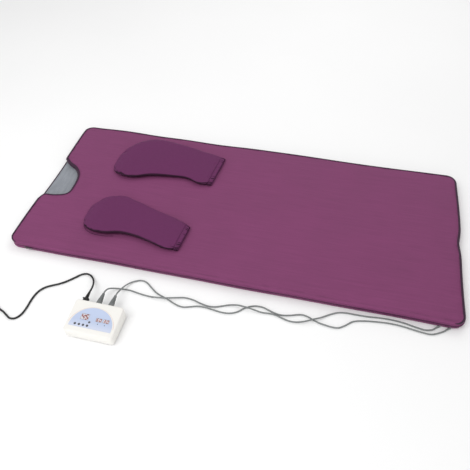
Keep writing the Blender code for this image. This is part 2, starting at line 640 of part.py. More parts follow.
def build_slider(coil_out, tape_edge):
    """The zip's slider: an H that holds one coil in each channel, and its pull on an upright pin."""
    frame = add_frame("zip_slider_frame", (slider_rest_x(), -HALF_WIDTH, SEAM_HEIGHT))
    plate_in = coil_out + ZIP_COIL_RADIUS + RUNNING_GAP
    plate_out = plate_in + SLIDER_PLATE
    pin_out = plate_out + RUNNING_GAP + PULL_EYE_RADIUS
    lug_out = pin_out + PULL_PIN_RADIUS + 0.0006
    web_in = GAP
    flange_half = tape_edge - RUNNING_GAP
    plate = box_mesh("zip_slider", (SLIDER_LENGTH, SLIDER_PLATE, SLIDER_PLATE_HEIGHT),
                     (0.0, -(plate_in + plate_out) / 2, 0.0), bevel=0.0004, segments=1)
    slider = add_part("zip_slider", plate, "zip_metal")
    slider.parent = frame
    web_depth = plate_in - web_in + SLIDER_PLATE / 2
    extras = [
        ("slider_web", (SLIDER_LENGTH * 0.8, web_depth, SLIDER_WEB), (0.0, -web_in - web_depth / 2, 0.0)),
        ("slider_flange", (SLIDER_LENGTH * 0.8, ZIP_TAPE, 2 * flange_half), (0.0, -web_in - ZIP_TAPE / 2, 0.0)),
    ]
    lug_height = (SLIDER_PLATE_HEIGHT - SLIDER_LUG) / 2
    lug_depth = lug_out - plate_out + SLIDER_PLATE / 2
    for level in (-1, 1):
        extras.append(("slider_lug", (2 * PULL_EYE_RADIUS, lug_depth, SLIDER_LUG),
                       (0.0, -lug_out + lug_depth / 2, level * lug_height)))
    for name, size, centre in extras:
        cutter = add_cutter(name, box_mesh(name, size, centre))
        cutter.parent = frame
        boolean(slider, cutter, "UNION")
    pin = add_cutter("slider_pin", cylinder_mesh("slider_pin", (PULL_PIN_RADIUS, PULL_PIN_RADIUS),
                                                 2 * lug_height, (0.0, -pin_out, 0.0), sides=12))
    pin.parent = frame
    boolean(slider, pin, "UNION")
    pull_frame = add_frame("zip_pull_frame", (slider_rest_x(), -HALF_WIDTH - pin_out, SEAM_HEIGHT))
    eye_height = 2 * lug_height - SLIDER_LUG - 2 * RUNNING_GAP
    plate_start = PULL_EYE_RADIUS * 0.7
    grip_start = 2 * PULL_EYE_RADIUS + SLIDER_LENGTH / 2
    eye = cylinder_mesh("zip_pull_tab", (PULL_EYE_RADIUS, PULL_EYE_RADIUS), eye_height, sides=16)
    pull = add_part("zip_pull_tab", eye, "zip_metal")
    pull.parent = pull_frame
    neck = box_mesh("pull_neck", (grip_start, PULL_PLATE, eye_height * 0.9), (plate_start + grip_start / 2, 0.0, 0.0))
    grip_length = PULL_LENGTH - grip_start
    grip = box_mesh("pull_grip", (grip_length, PULL_PLATE * 1.2, PULL_HEIGHT),
                    (grip_start + grip_length / 2, 0.0, 0.0), bevel=0.0004, segments=1)
    for name, mesh in (("pull_neck", neck), ("pull_grip", grip)):
        piece = add_cutter(name, mesh)
        piece.parent = pull_frame
        boolean(pull, piece, "UNION")
    bore_radius = PULL_PIN_RADIUS + RUNNING_GAP
    bore = add_cutter("pull_bore", cylinder_mesh("pull_bore", (bore_radius, bore_radius), 2 * eye_height, sides=16))
    bore.parent = pull_frame
    boolean(pull, bore)


def slider_rest_x():
    """The slider closes at the head end of the zip."""
    return -HALF_LENGTH + CORNER_RADIUS + ZIP_END + SLIDER_LENGTH


# ---- Sleeves --------------------------------------------------------------------------------------------------
def sleeve_section(stations, x):
    """Near side, far side and height of a sleeve at this x, on a smooth curve through its stations."""
    dense = smooth_curve([Vector((station[0], *station[1:3])) for station in stations], 8)
    heights = smooth_curve([Vector((station[0], station[3], 0.0)) for station in stations], 8)
    for index in range(len(dense) - 1):
        if dense[index].x <= x <= dense[index + 1].x:
            share = (x - dense[index].x) / (dense[index + 1].x - dense[index].x)
            place = dense[index].lerp(dense[index + 1], share)
            return place.y, place.z, heights[index].lerp(heights[index + 1], share).y
    return (stations[-1] if x > dense[0].x + 0.001 else stations[0])[1:]


def sleeve_ring(stations, x, inset):
    """One slanted cross-section of a sleeve, drawn in by this much all round."""
    near, far, height = sleeve_section(stations, x)
    lean = CUFF_LEAN * max(0.0, x - SLEEVE_JOINT_X) / (stations[-1][0] - SLEEVE_JOINT_X)
    middle, half = (near + far) / 2, (far - near) / 2 - inset
    ring = []
    for side in range(SLEEVE_SIDES):
        turn = 2 * math.pi * side / SLEEVE_SIDES
        across = math.copysign(abs(math.cos(turn)) ** SLEEVE_SQUARENESS, math.cos(turn)) * half
        rise = math.copysign(abs(math.sin(turn)) ** SLEEVE_SQUARENESS, math.sin(turn)) * (height / 2 - inset)
        ring.append((x + lean * across, middle + across, COVER_TOP + GAP + height / 2 + rise))
    return ring


def sleeve_piece(name, stations, start, end, steps, closed_start, look):
    """One length of a sleeve as a hollow shell, open at its far end, and at its near end unless it is closed."""
    made = bmesh.new()
    skins = []
    for inset in (0.0, SLEEVE_WALL):
        rings = []
        for step in range(steps + 1):
            x = start + (end - start) * step / steps
            if step == 0 and closed_start:
                x += inset
            rings.append([made.verts.new(point) for point in sleeve_ring(stations, x, inset)])
        for before, after in zip(rings, rings[1:]):
            for side in range(SLEEVE_SIDES):
                beside = (side + 1) % SLEEVE_SIDES
                made.faces.new((before[side], before[beside], after[beside], after[side]))
        skins.append(rings)
    for end_ring in (-1,) if closed_start else (0, -1):
        for side in range(SLEEVE_SIDES):
            beside = (side + 1) % SLEEVE_SIDES
            made.faces.new((skins[0][end_ring][side], skins[0][end_ring][beside], skins[1][end_ring][beside],
                            skins[1][end_ring][side]))
    if closed_start:
        for rings in skins:
            made.faces.new(rings[0])
        bmesh.ops.triangulate(made, faces=[face for face in made.faces if len(face.verts) > 4])
    bmesh.ops.recalc_face_normals(made, faces=made.faces[:])
    mesh = bpy.data.meshes.new(name)
    made.to_mesh(mesh)
    made.free()
    smooth(mesh, 60.0)
    return add_part(name, mesh, look)


def build_sleeve(side):
    stations = SLEEVES[side]
    cuff_start = stations[-1][0] - CUFF_LENGTH
    shoulder = sleeve_piece("sleeve_shoulder_" + side, stations, stations[0][0], SLEEVE_JOINT_X - SLEEVE_SEAM, 8, True,
                            "dark_plum_fabric")
    hole = cylinder_mesh("arm_hole_" + side, ARM_HOLE_RADII, 0.02, (ARM_HOLE_X, ARM_HOLE_Y[side], COVER_TOP), sides=22)
    boolean(shoulder, add_cutter("arm_hole_" + side, hole))
    sleeve_piece("sleeve_arm_" + side, stations, SLEEVE_JOINT_X, cuff_start - SLEEVE_SEAM, 8, False, "dark_plum_fabric")
    sleeve_piece("sleeve_cuff_" + side, stations, cuff_start, stations[-1][0], 2, False, "edge_trim")


# ---- Controller -------------------------------------------------------------------------------------------------
def case_outline(inset=0.0):
    loop = rounded_rectangle(CASE_WIDTH / 2 - inset, CASE_DEPTH / 2 - inset, CASE_CORNER - inset, 3)
    return [(x + CASE_CENTRE[0], y + CASE_CENTRE[1]) for x, y in loop]


def case_slope():
    return math.atan((CASE_REAR_HEIGHT - CASE_FRONT_HEIGHT) / CASE_DEPTH)


def case_front():
    return CASE_CENTRE[1] - CASE_DEPTH / 2


def case_rear():
    return CASE_CENTRE[1] + CASE_DEPTH / 2


def slope_case_top(mesh):
    """Tilts the flat top of the upper shell, which is made level, to the case's slope."""
    made = bmesh.new()
    made.from_mesh(mesh)
    low = CASE_SPLIT + GAP
    for vert in made.verts:
        share = (vert.co.z - low) / (CASE_REAR_HEIGHT - low)
        drop = (case_rear() - vert.co.y) * math.tan(case_slope())
        vert.co.z -= drop * max(0.0, min(1.0, share))
    made.to_mesh(mesh)
    made.free()
    return mesh


def build_case(panel_frame):
    upper = slope_case_top(tray_mesh("case_upper_shell", [case_outline()], CASE_SPLIT + GAP, CASE_REAR_HEIGHT,
                                     CASE_WALL, CASE_TOP_ROUND))
    upper = add_part("case_upper_shell", upper, "case_white")
    lower = add_part("case_lower_shell", tray_mesh("case_lower_shell", [case_outline()], CASE_SPLIT, FOOT_HEIGHT + GAP,
                                                   CASE_WALL, 0.0015), "case_white")
    floor = FOOT_HEIGHT + GAP + CASE_WALL
    for index, (side_x, side_y) in enumerate(((1, 1), (-1, 1), (-1, -1), (1, -1))):
        x = CASE_CENTRE[0] + side_x * (CASE_WIDTH / 2 - BOARD_INSET - 2 * STANDOFF_RADIUS)
        y = CASE_CENTRE[1] + side_y * (CASE_DEPTH / 2 - BOARD_INSET - 2 * STANDOFF_RADIUS)
        name = "standoff_" + str(index)
        post = cylinder_mesh(name, (STANDOFF_RADIUS, STANDOFF_RADIUS), STANDOFF_HEIGHT + CASE_WALL / 2,
                             (x, y, floor + (STANDOFF_HEIGHT - CASE_WALL / 2) / 2), sides=12)
        boolean(lower, add_cutter(name, post), "UNION")
    for name, side in (("foot_strip_front", -1), ("foot_strip_rear", 1)):
        size = (CASE_WIDTH - 2 * FOOT_INSET, FOOT_WIDTH, FOOT_HEIGHT)
        foot = add_part(name, box_mesh(name, size, bevel=0.0008, segments=1), "rubber_foot")
        foot.location = (CASE_CENTRE[0], CASE_CENTRE[1] + side * (CASE_DEPTH / 2 - FOOT_INSET), FOOT_HEIGHT / 2)
    build_panel(panel_frame, upper)
    build_rear_ports(upper)
    build_electronics(floor)


def panel_piece(piece, frame, place):
    """Puts a piece on the sloped top: place is x, y along the panel and height above the case's top."""
    piece.parent = frame
    piece.location = place
    return piece


def overlay_outline():
    """A half-moon, straight towards the front."""
    half_moon = [(OVERLAY_HALF_WIDTH * math.cos(turn), OVERLAY_DEPTH * math.sin(turn) ** 0.9)
                 for turn in (math.pi * step / 24 for step in range(25))]
    return half_moon


def rectangle(centre, width, depth):
    x, y = centre
    return [(x - width / 2, y - depth / 2), (x + width / 2, y - depth / 2), (x + width / 2, y + depth / 2),
            (x - width / 2, y + depth / 2)]


def buttons():
    """Each button's name, place on the panel and radius."""
    row = [("button_" + str(i + 1), (BUTTON_ROW_X + i * BUTTON_PITCH, BUTTON_ROW_Y), BUTTON_RADIUS) for i in range(4)]
    return row + [("power_button", POWER_AT, POWER_RADIUS)]


def build_panel(frame, upper):
    holes = []
    board_top = -DISPLAY_BOARD_DEPTH
    flush = GAP + OVERLAY
    for name, place, radius in buttons():
        hole_radius = radius + RUNNING_GAP
        holes.append(ellipse(place, (hole_radius, hole_radius), 12))
        cutter = add_cutter("hole_" + name, cylinder_mesh("hole_" + name, (hole_radius, hole_radius), 0.012, sides=12))
        panel_piece(cutter, frame, (*place, 0.0))
        boolean(upper, cutter)
        flange_top = -CASE_WALL - 2 * GAP
        top = flush + BUTTON_RISE
        bottom = board_top + GAP + BUTTON_TRAVEL
        profile = [(0.0, top), (radius - 0.0005, top), (radius, top - 0.0005), (radius, flange_top),
                   (radius + 0.0012, flange_top), (radius + 0.0012, flange_top - BUTTON_FLANGE),
                   (radius * 0.6, flange_top - BUTTON_FLANGE), (radius * 0.6, bottom), (0.0, bottom)]
        button = add_part(name, turned_mesh(name, profile, 12), "button_dark")
        panel_piece(button, frame, (*place, 0.0))
    for name, place in LEDS.items():
        hole_radius = LED_RADIUS + GAP
        holes.append(ellipse(place, (hole_radius, hole_radius), 8))
        cutter = add_cutter("hole_" + name, cylinder_mesh("hole_" + name, (hole_radius, hole_radius), 0.012, sides=8))
        panel_piece(cutter, frame, (*place, 0.0))
        boolean(upper, cutter)
        height = flush + GAP - board_top
        led = add_part(name, cylinder_mesh(name, (LED_RADIUS, LED_RADIUS), height, sides=8), "led_dark")
        panel_piece(led, frame, (*place, board_top + GAP + height / 2))
    for name, (x, y, width, depth) in DISPLAYS.items():
        holes.append(rectangle((x, y), width + 2 * GAP, depth + 2 * GAP))
        size = (width + 2 * GAP, depth + 2 * GAP, 0.012)
        cutter = add_cutter("hole_" + name, box_mesh("hole_" + name, size))
        panel_piece(cutter, frame, (x, y, 0.0))
        boolean(upper, cutter)
        height = flush - board_top - GAP
        window = add_part(name, box_mesh(name, (width, depth, height)), "display_orange")
        panel_piece(window, frame, (x, y, board_top + GAP + height / 2))
    overlay = add_part("panel_overlay", plate_mesh("panel_overlay", [overlay_outline()] + holes, GAP, flush),
                       "panel_blue")
    panel_piece(overlay, frame, (0.0, 0.0, 0.0))
    board = box_mesh("display_board", (2 * OVERLAY_HALF_WIDTH - 0.012, 0.060, BOARD))
    board = add_part("display_board", board, "board_green")
    panel_piece(board, frame, (0.0, 0.032, board_top - BOARD / 2))
    for index, (x, y) in enumerate(((-0.070, 0.004), (0.070, 0.004), (-0.070, 0.060), (0.070, 0.060))):
        length = DISPLAY_BOARD_DEPTH - CASE_WALL / 2 - GAP
        name = "panel_post_" + str(index)
        post = add_cutter(name, cylinder_mesh(name, (STANDOFF_RADIUS, STANDOFF_RADIUS), length, sides=12))
        panel_piece(post, frame, (x, y, board_top + GAP + length / 2))
        boolean(upper, post, "UNION")


def build_rear_ports(upper):
    rear = case_rear()
    # The mains inlet: a flanged body with a pocket for the connector's nose
    body = box_mesh("mains_inlet", (INLET_BODY[0], INLET_BODY[1], INLET_BODY[2]), (0.0, -INLET_BODY[1] / 2, 0.0))
    inlet = add_part("mains_inlet", body, "cord_black")
    inlet.location = (MAINS_X, rear + GAP, SOCKET_HEIGHT)
    flange = add_cutter("inlet_flange", box_mesh("inlet_flange", INLET_FLANGE, (0.0, INLET_FLANGE[1] / 2 - 0.00001, 0.0)))
    flange.location = inlet.location
    boolean(inlet, flange, "UNION")
    pocket_size = (INLET_POCKET[0], INLET_POCKET[1] + INLET_FLANGE[1], INLET_POCKET[2])
    pocket = add_cutter("inlet_pocket", box_mesh("inlet_pocket", pocket_size,
                                                 (0.0, INLET_FLANGE[1] + 0.001 - pocket_size[1] / 2, 0.0)))
    pocket.location = inlet.location
    boolean(inlet, pocket)
    hole = box_mesh("inlet_hole", (INLET_BODY[0] + 2 * GAP, 0.012, INLET_BODY[2] + 2 * GAP))
    hole = add_cutter("inlet_hole", hole)
    hole.location = (MAINS_X, rear, SOCKET_HEIGHT)
    boolean(upper, hole)
    for side, x in HEATER_PORTS.items():
        name = "heater_socket_" + side
        flange = 0.0015
        pocket_floor = -SOCKET_DEPTH + 0.002
        profile = [(0.0, pocket_floor), (SOCKET_POCKET_RADIUS, pocket_floor), (SOCKET_POCKET_RADIUS, flange),
                   (SOCKET_FLANGE_RADIUS, flange), (SOCKET_FLANGE_RADIUS, 0.0), (SOCKET_RADIUS, 0.0),
                   (SOCKET_RADIUS, -SOCKET_DEPTH), (0.0, -SOCKET_DEPTH)]
        socket = add_part(name, turned_mesh(name, profile, 16), "case_white")
        socket.rotation_euler = (-math.pi / 2, 0.0, 0.0)
        socket.location = (x, rear + GAP, SOCKET_HEIGHT)
        radius = SOCKET_RADIUS + GAP
        hole = add_cutter("hole_" + name, cylinder_mesh("hole_" + name, (radius, radius), 0.012, along="Y", sides=16))
        hole.location = (x, rear, SOCKET_HEIGHT)
        boolean(upper, hole)


def build_electronics(floor):
    board_low = floor + STANDOFF_HEIGHT + GAP
    size = (CASE_WIDTH - 2 * BOARD_INSET, CASE_DEPTH - 2 * BOARD_INSET, BOARD)
    board = add_part("main_board", box_mesh("main_board", size), "board_green")
    board.location = (*CASE_CENTRE, board_low + BOARD / 2)
    top = board_low + BOARD + GAP
    core = (0.040, 0.034, 0.018)
    transformer = add_part("transformer", box_mesh("transformer", core, bevel=0.001, segments=1), "core_steel")
    transformer.location = (CASE_CENTRE[0] - 0.052, CASE_CENTRE[1] - 0.012, top + core[2] / 2)
    winding = (0.026, 0.044, 0.014)
    coil = add_cutter("winding", box_mesh("winding", winding, bevel=0.002, segments=2))
    coil.location = transformer.location
    boolean(transformer, coil, "UNION")
    fins, fin, fin_gap, fin_height, sink_base = 6, 0.0016, 0.0034, 0.016, 0.003
    comb = [(0.0, 0.0)]
    for index in range(fins):
        left = index * (fin + fin_gap)
        comb += [(left, fin_height), (left + fin, fin_height)]
        if index < fins - 1:
            comb += [(left + fin, sink_base), (left + fin + fin_gap, sink_base)]
    comb.append((comb[-1][0], 0.0))
    sink_mesh = plate_mesh("heat_sink", [comb[::-1]], 0.0, 0.045)
    sink_mesh.transform(Matrix.Rotation(math.pi / 2, 4, "X"))
    sink = add_part("heat_sink", sink_mesh, "sink_aluminium")
    sink.location = (CASE_CENTRE[0] + 0.030, CASE_CENTRE[1] + 0.012, top)


# ---- Cords and what is on them ------------------------------------------------------------------------------------
def gland_direction():
    return Vector((math.cos(GLAND_YAW), math.sin(GLAND_YAW), 0.0))


def gland_point(side, out):
    """A point on the gland's axis, this far outside the blanket's wall."""
    wall = Vector((GLAND_X[side], -HALF_WIDTH, GLAND_HEIGHT))
    return wall - gland_direction() * out


def gland_cutter(side):
    radius = HEATER_CABLE_RADIUS + 2 * GAP
    name = "gland_hole_" + side
    cutter = add_cutter(name, cylinder_mesh(name, (radius, radius), 0.014, along="Y", sides=16))
    cutter.rotation_euler = (0.0, 0.0, GLAND_YAW - math.pi / 2)
    cutter.location = gland_point(side, 0.0)
    return cutter


def build_gland(side):
    """A tapered rubber gland: its shank is in the shell's hole, and its collar is outside."""
    shank = HEATER_CABLE_RADIUS + GAP
    collar = HEATER_CABLE_RADIUS + 0.0009
    tip = HEATER_CABLE_RADIUS + 0.0004
    collar_start = 0.0042
    profile = [(0.0, GLAND_OUT), (tip, GLAND_OUT), (collar, collar_start + 0.003), (collar, collar_start),
               (shank, collar_start), (shank, -GLAND_IN), (0.0, -GLAND_IN)]
    name = "cable_gland_" + side
    gland = add_part(name, turned_mesh(name, profile, 16), "cable_grey")
    gland.rotation_mode = "QUATERNION"
    gland.rotation_quaternion = (-gland_direction()).to_track_quat("Z", "Y")
    gland.location = gland_point(side, 0.0)


def cable_points(route, radius):
    return [Vector((point[0], point[1], point[2] if len(point) > 2 else radius)) for point in route]


def build_heater_cable(side):
    x = HEATER_PORTS[side]
    plug_start = case_rear() + GAP + 0.0015 + GAP
    nose = CONNECTOR_NOSE_DEPTH
    length = HEATER_PLUG_LENGTH
    profile = [(0.0, length), (0.0048, length)]
    ribs = 5
    for rib in range(ribs):
        share = rib / ribs
        outer = 0.0056 + 0.0048 * share
        level = length - 0.004 - 0.0062 * rib
        profile += [(outer, level), (outer, level - 0.0036), (outer - 0.0010, level - 0.0044)]
    profile += [(0.0105, 0.014), (0.0105, 0.0), (SOCKET_POCKET_RADIUS - RUNNING_GAP, 0.0),
                (SOCKET_POCKET_RADIUS - RUNNING_GAP, -nose), (0.0, -nose)]
    name = "heater_plug_" + side
    plug = add_part(name, turned_mesh(name, profile, 14), "cable_grey")
    plug.rotation_euler = (-math.pi / 2, 0.0, 0.0)
    plug.location = (x, plug_start, SOCKET_HEIGHT)
    start = Vector((x, plug_start + length + GAP, SOCKET_HEIGHT))
    end = gland_point(side, GLAND_OUT + GAP)
    points = [start + Vector((0.0, STRAIGHT_END, 0.0))] + cable_points(HEATER_ROUTES[side], HEATER_CABLE_RADIUS)
    points += [gland_point(side, GLAND_OUT + 0.020), end - gland_direction() * STRAIGHT_END]
    points[-2].z = HEATER_CABLE_RADIUS + 0.0008
    route = [start] + evenly_spaced(smooth_curve(points, 6), 0.0172) + [end]
    add_part("heater_cable_" + side, tube_curve("heater_cable_" + side, route, HEATER_CABLE_RADIUS), "cable_grey")
    build_gland(side)


def ring_section(across, layers):
    """Half sizes of the coil's cross-section: turns side by side and on each other."""
    return MAINS_RADIUS * across + GAP, MAINS_RADIUS * layers + GAP


def coil_height():
    """Height of the coil's middle: it lies on its tie."""
    return TIE + GAP + ring_section(COIL_ACROSS, COIL_LAYERS)[1]


def coil_point(turn, radius):
    return Vector((COIL_CENTRE[0] + radius * math.cos(turn), COIL_CENTRE[1] + radius * math.sin(turn), 0.0))


def build_mains():
    plug_start = case_rear() + GAP + INLET_FLANGE[1] + GAP
    width, length, height = CONNECTOR_BODY
    nose_size = (INLET_POCKET[0] - 2 * RUNNING_GAP, CONNECTOR_NOSE_DEPTH, INLET_POCKET[2] - 2 * RUNNING_GAP)
    connector = add_part("mains_connector", box_mesh("mains_connector", (width, length, height),
                                                     (0.0, length / 2, 0.0), bevel=0.002), "cord_black")
    connector.location = (MAINS_X, plug_start, SOCKET_HEIGHT)
    nose = add_cutter("connector_nose", box_mesh("connector_nose", (nose_size[0], nose_size[1] + 0.003, nose_size[2]),
                                                 (0.0, (0.003 - nose_size[1]) / 2, 0.0)))
    relief = strain_relief_mesh("connector_relief", 0.0065)
    relief.transform(Matrix.Translation((0.0, length - 0.001, 0.0)) @ Matrix.Rotation(-math.pi / 2, 4, "X"))
    for piece in (nose, add_cutter("connector_relief", relief)):
        piece.location = connector.location
        boolean(connector, piece, "UNION")
    start = Vector((MAINS_X, plug_start + length - 0.001 + STRAIN_RELIEF + GAP, SOCKET_HEIGHT))
    build_mains_cord(start)


def strain_relief_mesh(name, wide):
    """A tapered, ribbed strain relief along +Z."""
    tip = MAINS_RADIUS + 0.0008
    profile = [(0.0, STRAIN_RELIEF), (tip, STRAIN_RELIEF)]
    ribs = 4
    for rib in range(ribs):
        outer = tip + (wide - tip) * (rib + 1) / (ribs + 1)
        level = STRAIN_RELIEF - 0.004 - rib * 0.0056
        profile += [(outer, level), (outer, level - 0.0030), (outer - 0.0007, level - 0.0040)]
    profile += [(wide, 0.0015), (wide, 0.0), (0.0, 0.0)]
    return turned_mesh(name, profile, 12)


def build_mains_cord(start):
    half_across, half_high = ring_section(COIL_ACROSS, COIL_LAYERS)
    outer_turn = COIL_RADIUS + half_across - MAINS_RADIUS
    ring_outer = COIL_RADIUS + half_across
    entry = coil_point(COIL_ENTRY, outer_turn)
    heading = Vector((-math.sin(COIL_ENTRY), math.cos(COIL_ENTRY), 0.0))
    inner_side = outer_turn - MAINS_RADIUS
    clear = math.sqrt((ring_outer + GAP) ** 2 - inner_side**2)
    ends = [entry - heading * (clear + 0.020), entry - heading * clear]
    for point, height in zip(ends, (MAINS_RADIUS, MAINS_RADIUS + TIE)):
        point.z = height
    points = [start + Vector((0.0, STRAIGHT_END, 0.0))] + cable_points(MAINS_ROUTE, MAINS_RADIUS) + ends
    route = [start] + evenly_spaced(smooth_curve(points, 6), 0.0175)
    add_part("mains_cord", tube_curve("mains_cord", route, MAINS_RADIUS), "cord_black")
    # The coil: one ring of the outer shape of its turns
    corner = MAINS_RADIUS * 0.6
    high = coil_height() + half_high
    low = coil_height() - half_high
    outer, inner = ring_outer, COIL_RADIUS - half_across
    profile = [(outer - corner, high), (outer, high - corner), (outer, low + corner), (outer - corner, low),
               (inner + corner, low), (inner, low + corner), (inner, high - corner), (inner + corner, high),
               (outer - corner, high)]
    ring = add_part("mains_cord_coil", turned_mesh("mains_cord_coil", profile, 30), "cord_black")
    ring.location = (*COIL_CENTRE, 0.0)
    build_tie(half_across, half_high)
    # The tail and the plug leave the ring's far left side towards -Y
    left = coil_point(math.pi, outer_turn)
    tail_height = PLUG_BODY[2] / 2
    tail = [left + Vector((0.0, -clear, coil_height() + half_high - MAINS_RADIUS - GAP)),
            left + Vector((0.0, -(clear + TAIL) / 2, (coil_height() + tail_height) / 2)),
            left + Vector((0.0, -TAIL, tail_height))]
    route = evenly_spaced(smooth_curve(tail, 4), 0.010)
    add_part("mains_cord_tail", tube_curve("mains_cord_tail", route, MAINS_RADIUS), "cord_black")
    build_mains_plug(left + Vector((0.0, -TAIL - GAP, tail_height)))


def build_tie(half_across, half_high):
    """A hook-and-loop strap round the coil's turns, on the side away from the blanket."""
    inner = COIL_RADIUS - half_across
    bulge = inner - math.sqrt(inner**2 - (TIE_WIDTH / 2) ** 2)
    inside = (2 * (half_across + GAP) + bulge, TIE_WIDTH, 2 * (half_high + GAP))
    outside = (inside[0] + 2 * TIE, TIE_WIDTH, inside[2] + 2 * TIE)
    tie = add_part("mains_cord_tie", box_mesh("mains_cord_tie", outside, bevel=0.0008, segments=1), "button_dark")
    hollow = add_cutter("tie_hollow", box_mesh("tie_hollow", (inside[0], 2 * TIE_WIDTH, inside[2])))
    for piece in (tie, hollow):
        piece.location = (COIL_CENTRE[0] + COIL_RADIUS - bulge / 2, COIL_CENTRE[1], coil_height())
    boolean(tie, hollow)


def build_mains_plug(tip):
    """A moulded two-pin plug that points to -Y, behind its strain relief."""
    width, length, height = PLUG_BODY
    relief = strain_relief_mesh("mains_plug", 0.0062)
    relief.transform(Matrix.Translation((0.0, -STRAIN_RELIEF, 0.0)) @ Matrix.Rotation(-math.pi / 2, 4, "X"))
    plug = add_part("mains_plug", relief, "cord_black")
    body_middle = -STRAIN_RELIEF - length / 2 + 0.001
    pieces = [("plug_body", box_mesh("plug_body", PLUG_BODY, (0.0, body_middle, 0.0), bevel=0.003))]
    pin_middle = body_middle - length / 2 - PLUG_PIN[1] / 2 + 0.001
    for side in (-1, 1):
        centre = (side * PLUG_PIN_SPACING / 2, pin_middle, 0.0)
        pieces.append(("plug_pin", box_mesh("plug_pin", PLUG_PIN, centre)))
    plug.location = tip
    for name, mesh in pieces:
        piece = add_cutter(name, mesh)
        piece.location = tip
        boolean(plug, piece, "UNION")


def main():
    clear_scene()
    collection("sauna_blanket")
    collection("cutters")
    build_base()
    build_cover()
    build_bindings()
    build_fold()
    build_zip()
    for side in SLEEVES:
        build_sleeve(side)
    panel_y = case_front() + OVERLAY_FRONT
    panel_z = CASE_FRONT_HEIGHT + OVERLAY_FRONT * math.tan(case_slope())
    panel_frame = add_frame("panel_frame", (CASE_CENTRE[0], panel_y, panel_z), (case_slope(), 0.0, 0.0))
    build_case(panel_frame)
    for side in HEATER_PORTS:
        build_heater_cable(side)
    build_mains()


main()
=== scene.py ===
"""The looks of an infrared sauna blanket and its controller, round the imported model. Lengths are in metres."""

import math

import bmesh
import bpy
import numpy as np
from mathutils import Matrix, Vector, geometry, noise


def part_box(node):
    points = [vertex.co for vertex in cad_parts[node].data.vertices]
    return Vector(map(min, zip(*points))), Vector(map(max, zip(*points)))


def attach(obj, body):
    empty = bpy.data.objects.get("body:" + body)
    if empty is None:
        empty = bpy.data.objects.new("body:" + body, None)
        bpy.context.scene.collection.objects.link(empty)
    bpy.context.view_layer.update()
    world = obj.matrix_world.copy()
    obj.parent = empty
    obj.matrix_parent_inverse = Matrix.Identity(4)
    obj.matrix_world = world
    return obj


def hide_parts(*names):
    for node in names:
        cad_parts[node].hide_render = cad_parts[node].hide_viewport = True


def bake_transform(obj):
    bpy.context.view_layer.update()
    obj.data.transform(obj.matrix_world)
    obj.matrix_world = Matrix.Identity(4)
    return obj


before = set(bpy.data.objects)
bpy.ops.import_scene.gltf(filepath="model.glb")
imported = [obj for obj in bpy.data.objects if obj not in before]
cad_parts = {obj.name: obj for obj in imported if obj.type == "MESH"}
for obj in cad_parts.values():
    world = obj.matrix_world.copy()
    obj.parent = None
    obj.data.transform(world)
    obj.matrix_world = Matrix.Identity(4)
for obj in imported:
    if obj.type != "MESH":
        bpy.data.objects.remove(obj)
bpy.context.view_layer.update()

# ---- Sizes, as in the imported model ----
HALF_LENGTH = 0.894
HALF_WIDTH = 0.394
CORNER = 0.042
BASE_TOP = 0.0165
COVER_BOTTOM = 0.0180
COVER_TOP = 0.0345
SEAM = 0.01725
FOLD_AXIS, FOLD_END = 0.397, 0.8515
NECK = [(0.0, 0.136), (0.032, 0.106), (0.080, 0.077), (0.110, 0.034), (0.119, -0.030), (0.112, -0.080),
        (0.064, -0.100), (0.016, -0.106), (0.0, -0.140)]
ARM_HOLES = {"far": (-0.555, 0.200), "near": (-0.555, -0.172)}
ARM_RADII = (0.052, 0.066)
SLEEVES = {
    "far": [(-0.640, 0.125, 0.200, 0.010), (-0.622, 0.088, 0.252, 0.017), (-0.580, 0.062, 0.304, 0.024),
            (-0.520, 0.060, 0.337, 0.026), (-0.450, 0.084, 0.341, 0.026), (-0.360, 0.099, 0.325, 0.024),
            (-0.280, 0.104, 0.307, 0.022), (-0.210, 0.083, 0.291, 0.021), (-0.153, 0.090, 0.275, 0.019)],
    "near": [(-0.634, -0.215, -0.145, 0.010), (-0.614, -0.258, -0.112, 0.017), (-0.575, -0.281, -0.080, 0.024),
             (-0.515, -0.284, -0.062, 0.026), (-0.450, -0.271, -0.078, 0.026), (-0.375, -0.275, -0.103, 0.024),
             (-0.305, -0.290, -0.124, 0.022), (-0.240, -0.306, -0.145, 0.021), (-0.186, -0.300, -0.171, 0.019)],
}
SLEEVE_JOINT = -0.4703
CUFF = 0.018
GATHER_REACH = 0.055  # how far the cuff's gathers run into the sleeve
WELT_OUT, WELT_END = 0.0012, -0.48
CASE = (-0.387, -0.6655)
CASE_HALF = (0.0935, 0.0635)
CASE_FRONT, CASE_REAR = 0.045, 0.055
CASE_CORNER = 0.010
CASE_PARTING = 0.0205
CASE_WALL = 0.0020
CASE_STEPS = 112  # points round the case's outline
SLOPE = math.atan((CASE_REAR - CASE_FRONT) / (2 * CASE_HALF[1]))
PANEL_FRONT = 0.022
OVERLAY = (0.080, 0.081)
SOCKET_Z = 0.034
MAINS_X = -0.4565
HEATER_X = {"left": -0.4020, "right": -0.3545}
HEATER_R = 0.00275
MAINS_R = 0.0035
REAR = CASE[1] + CASE_HALF[1]


# ---- Small helpers ----
def srgb(red, green, blue):
    """Linear colour from 0-255 values."""
    return [((v / 255 + 0.055) / 1.055) ** 2.4 if v > 10 else v / 3294.6 for v in (red, green, blue)] + [1.0]


def smoothstep(low, high, value):
    t = np.clip((value - low) / (high - low), 0.0, 1.0)
    return t * t * (3 - 2 * t)


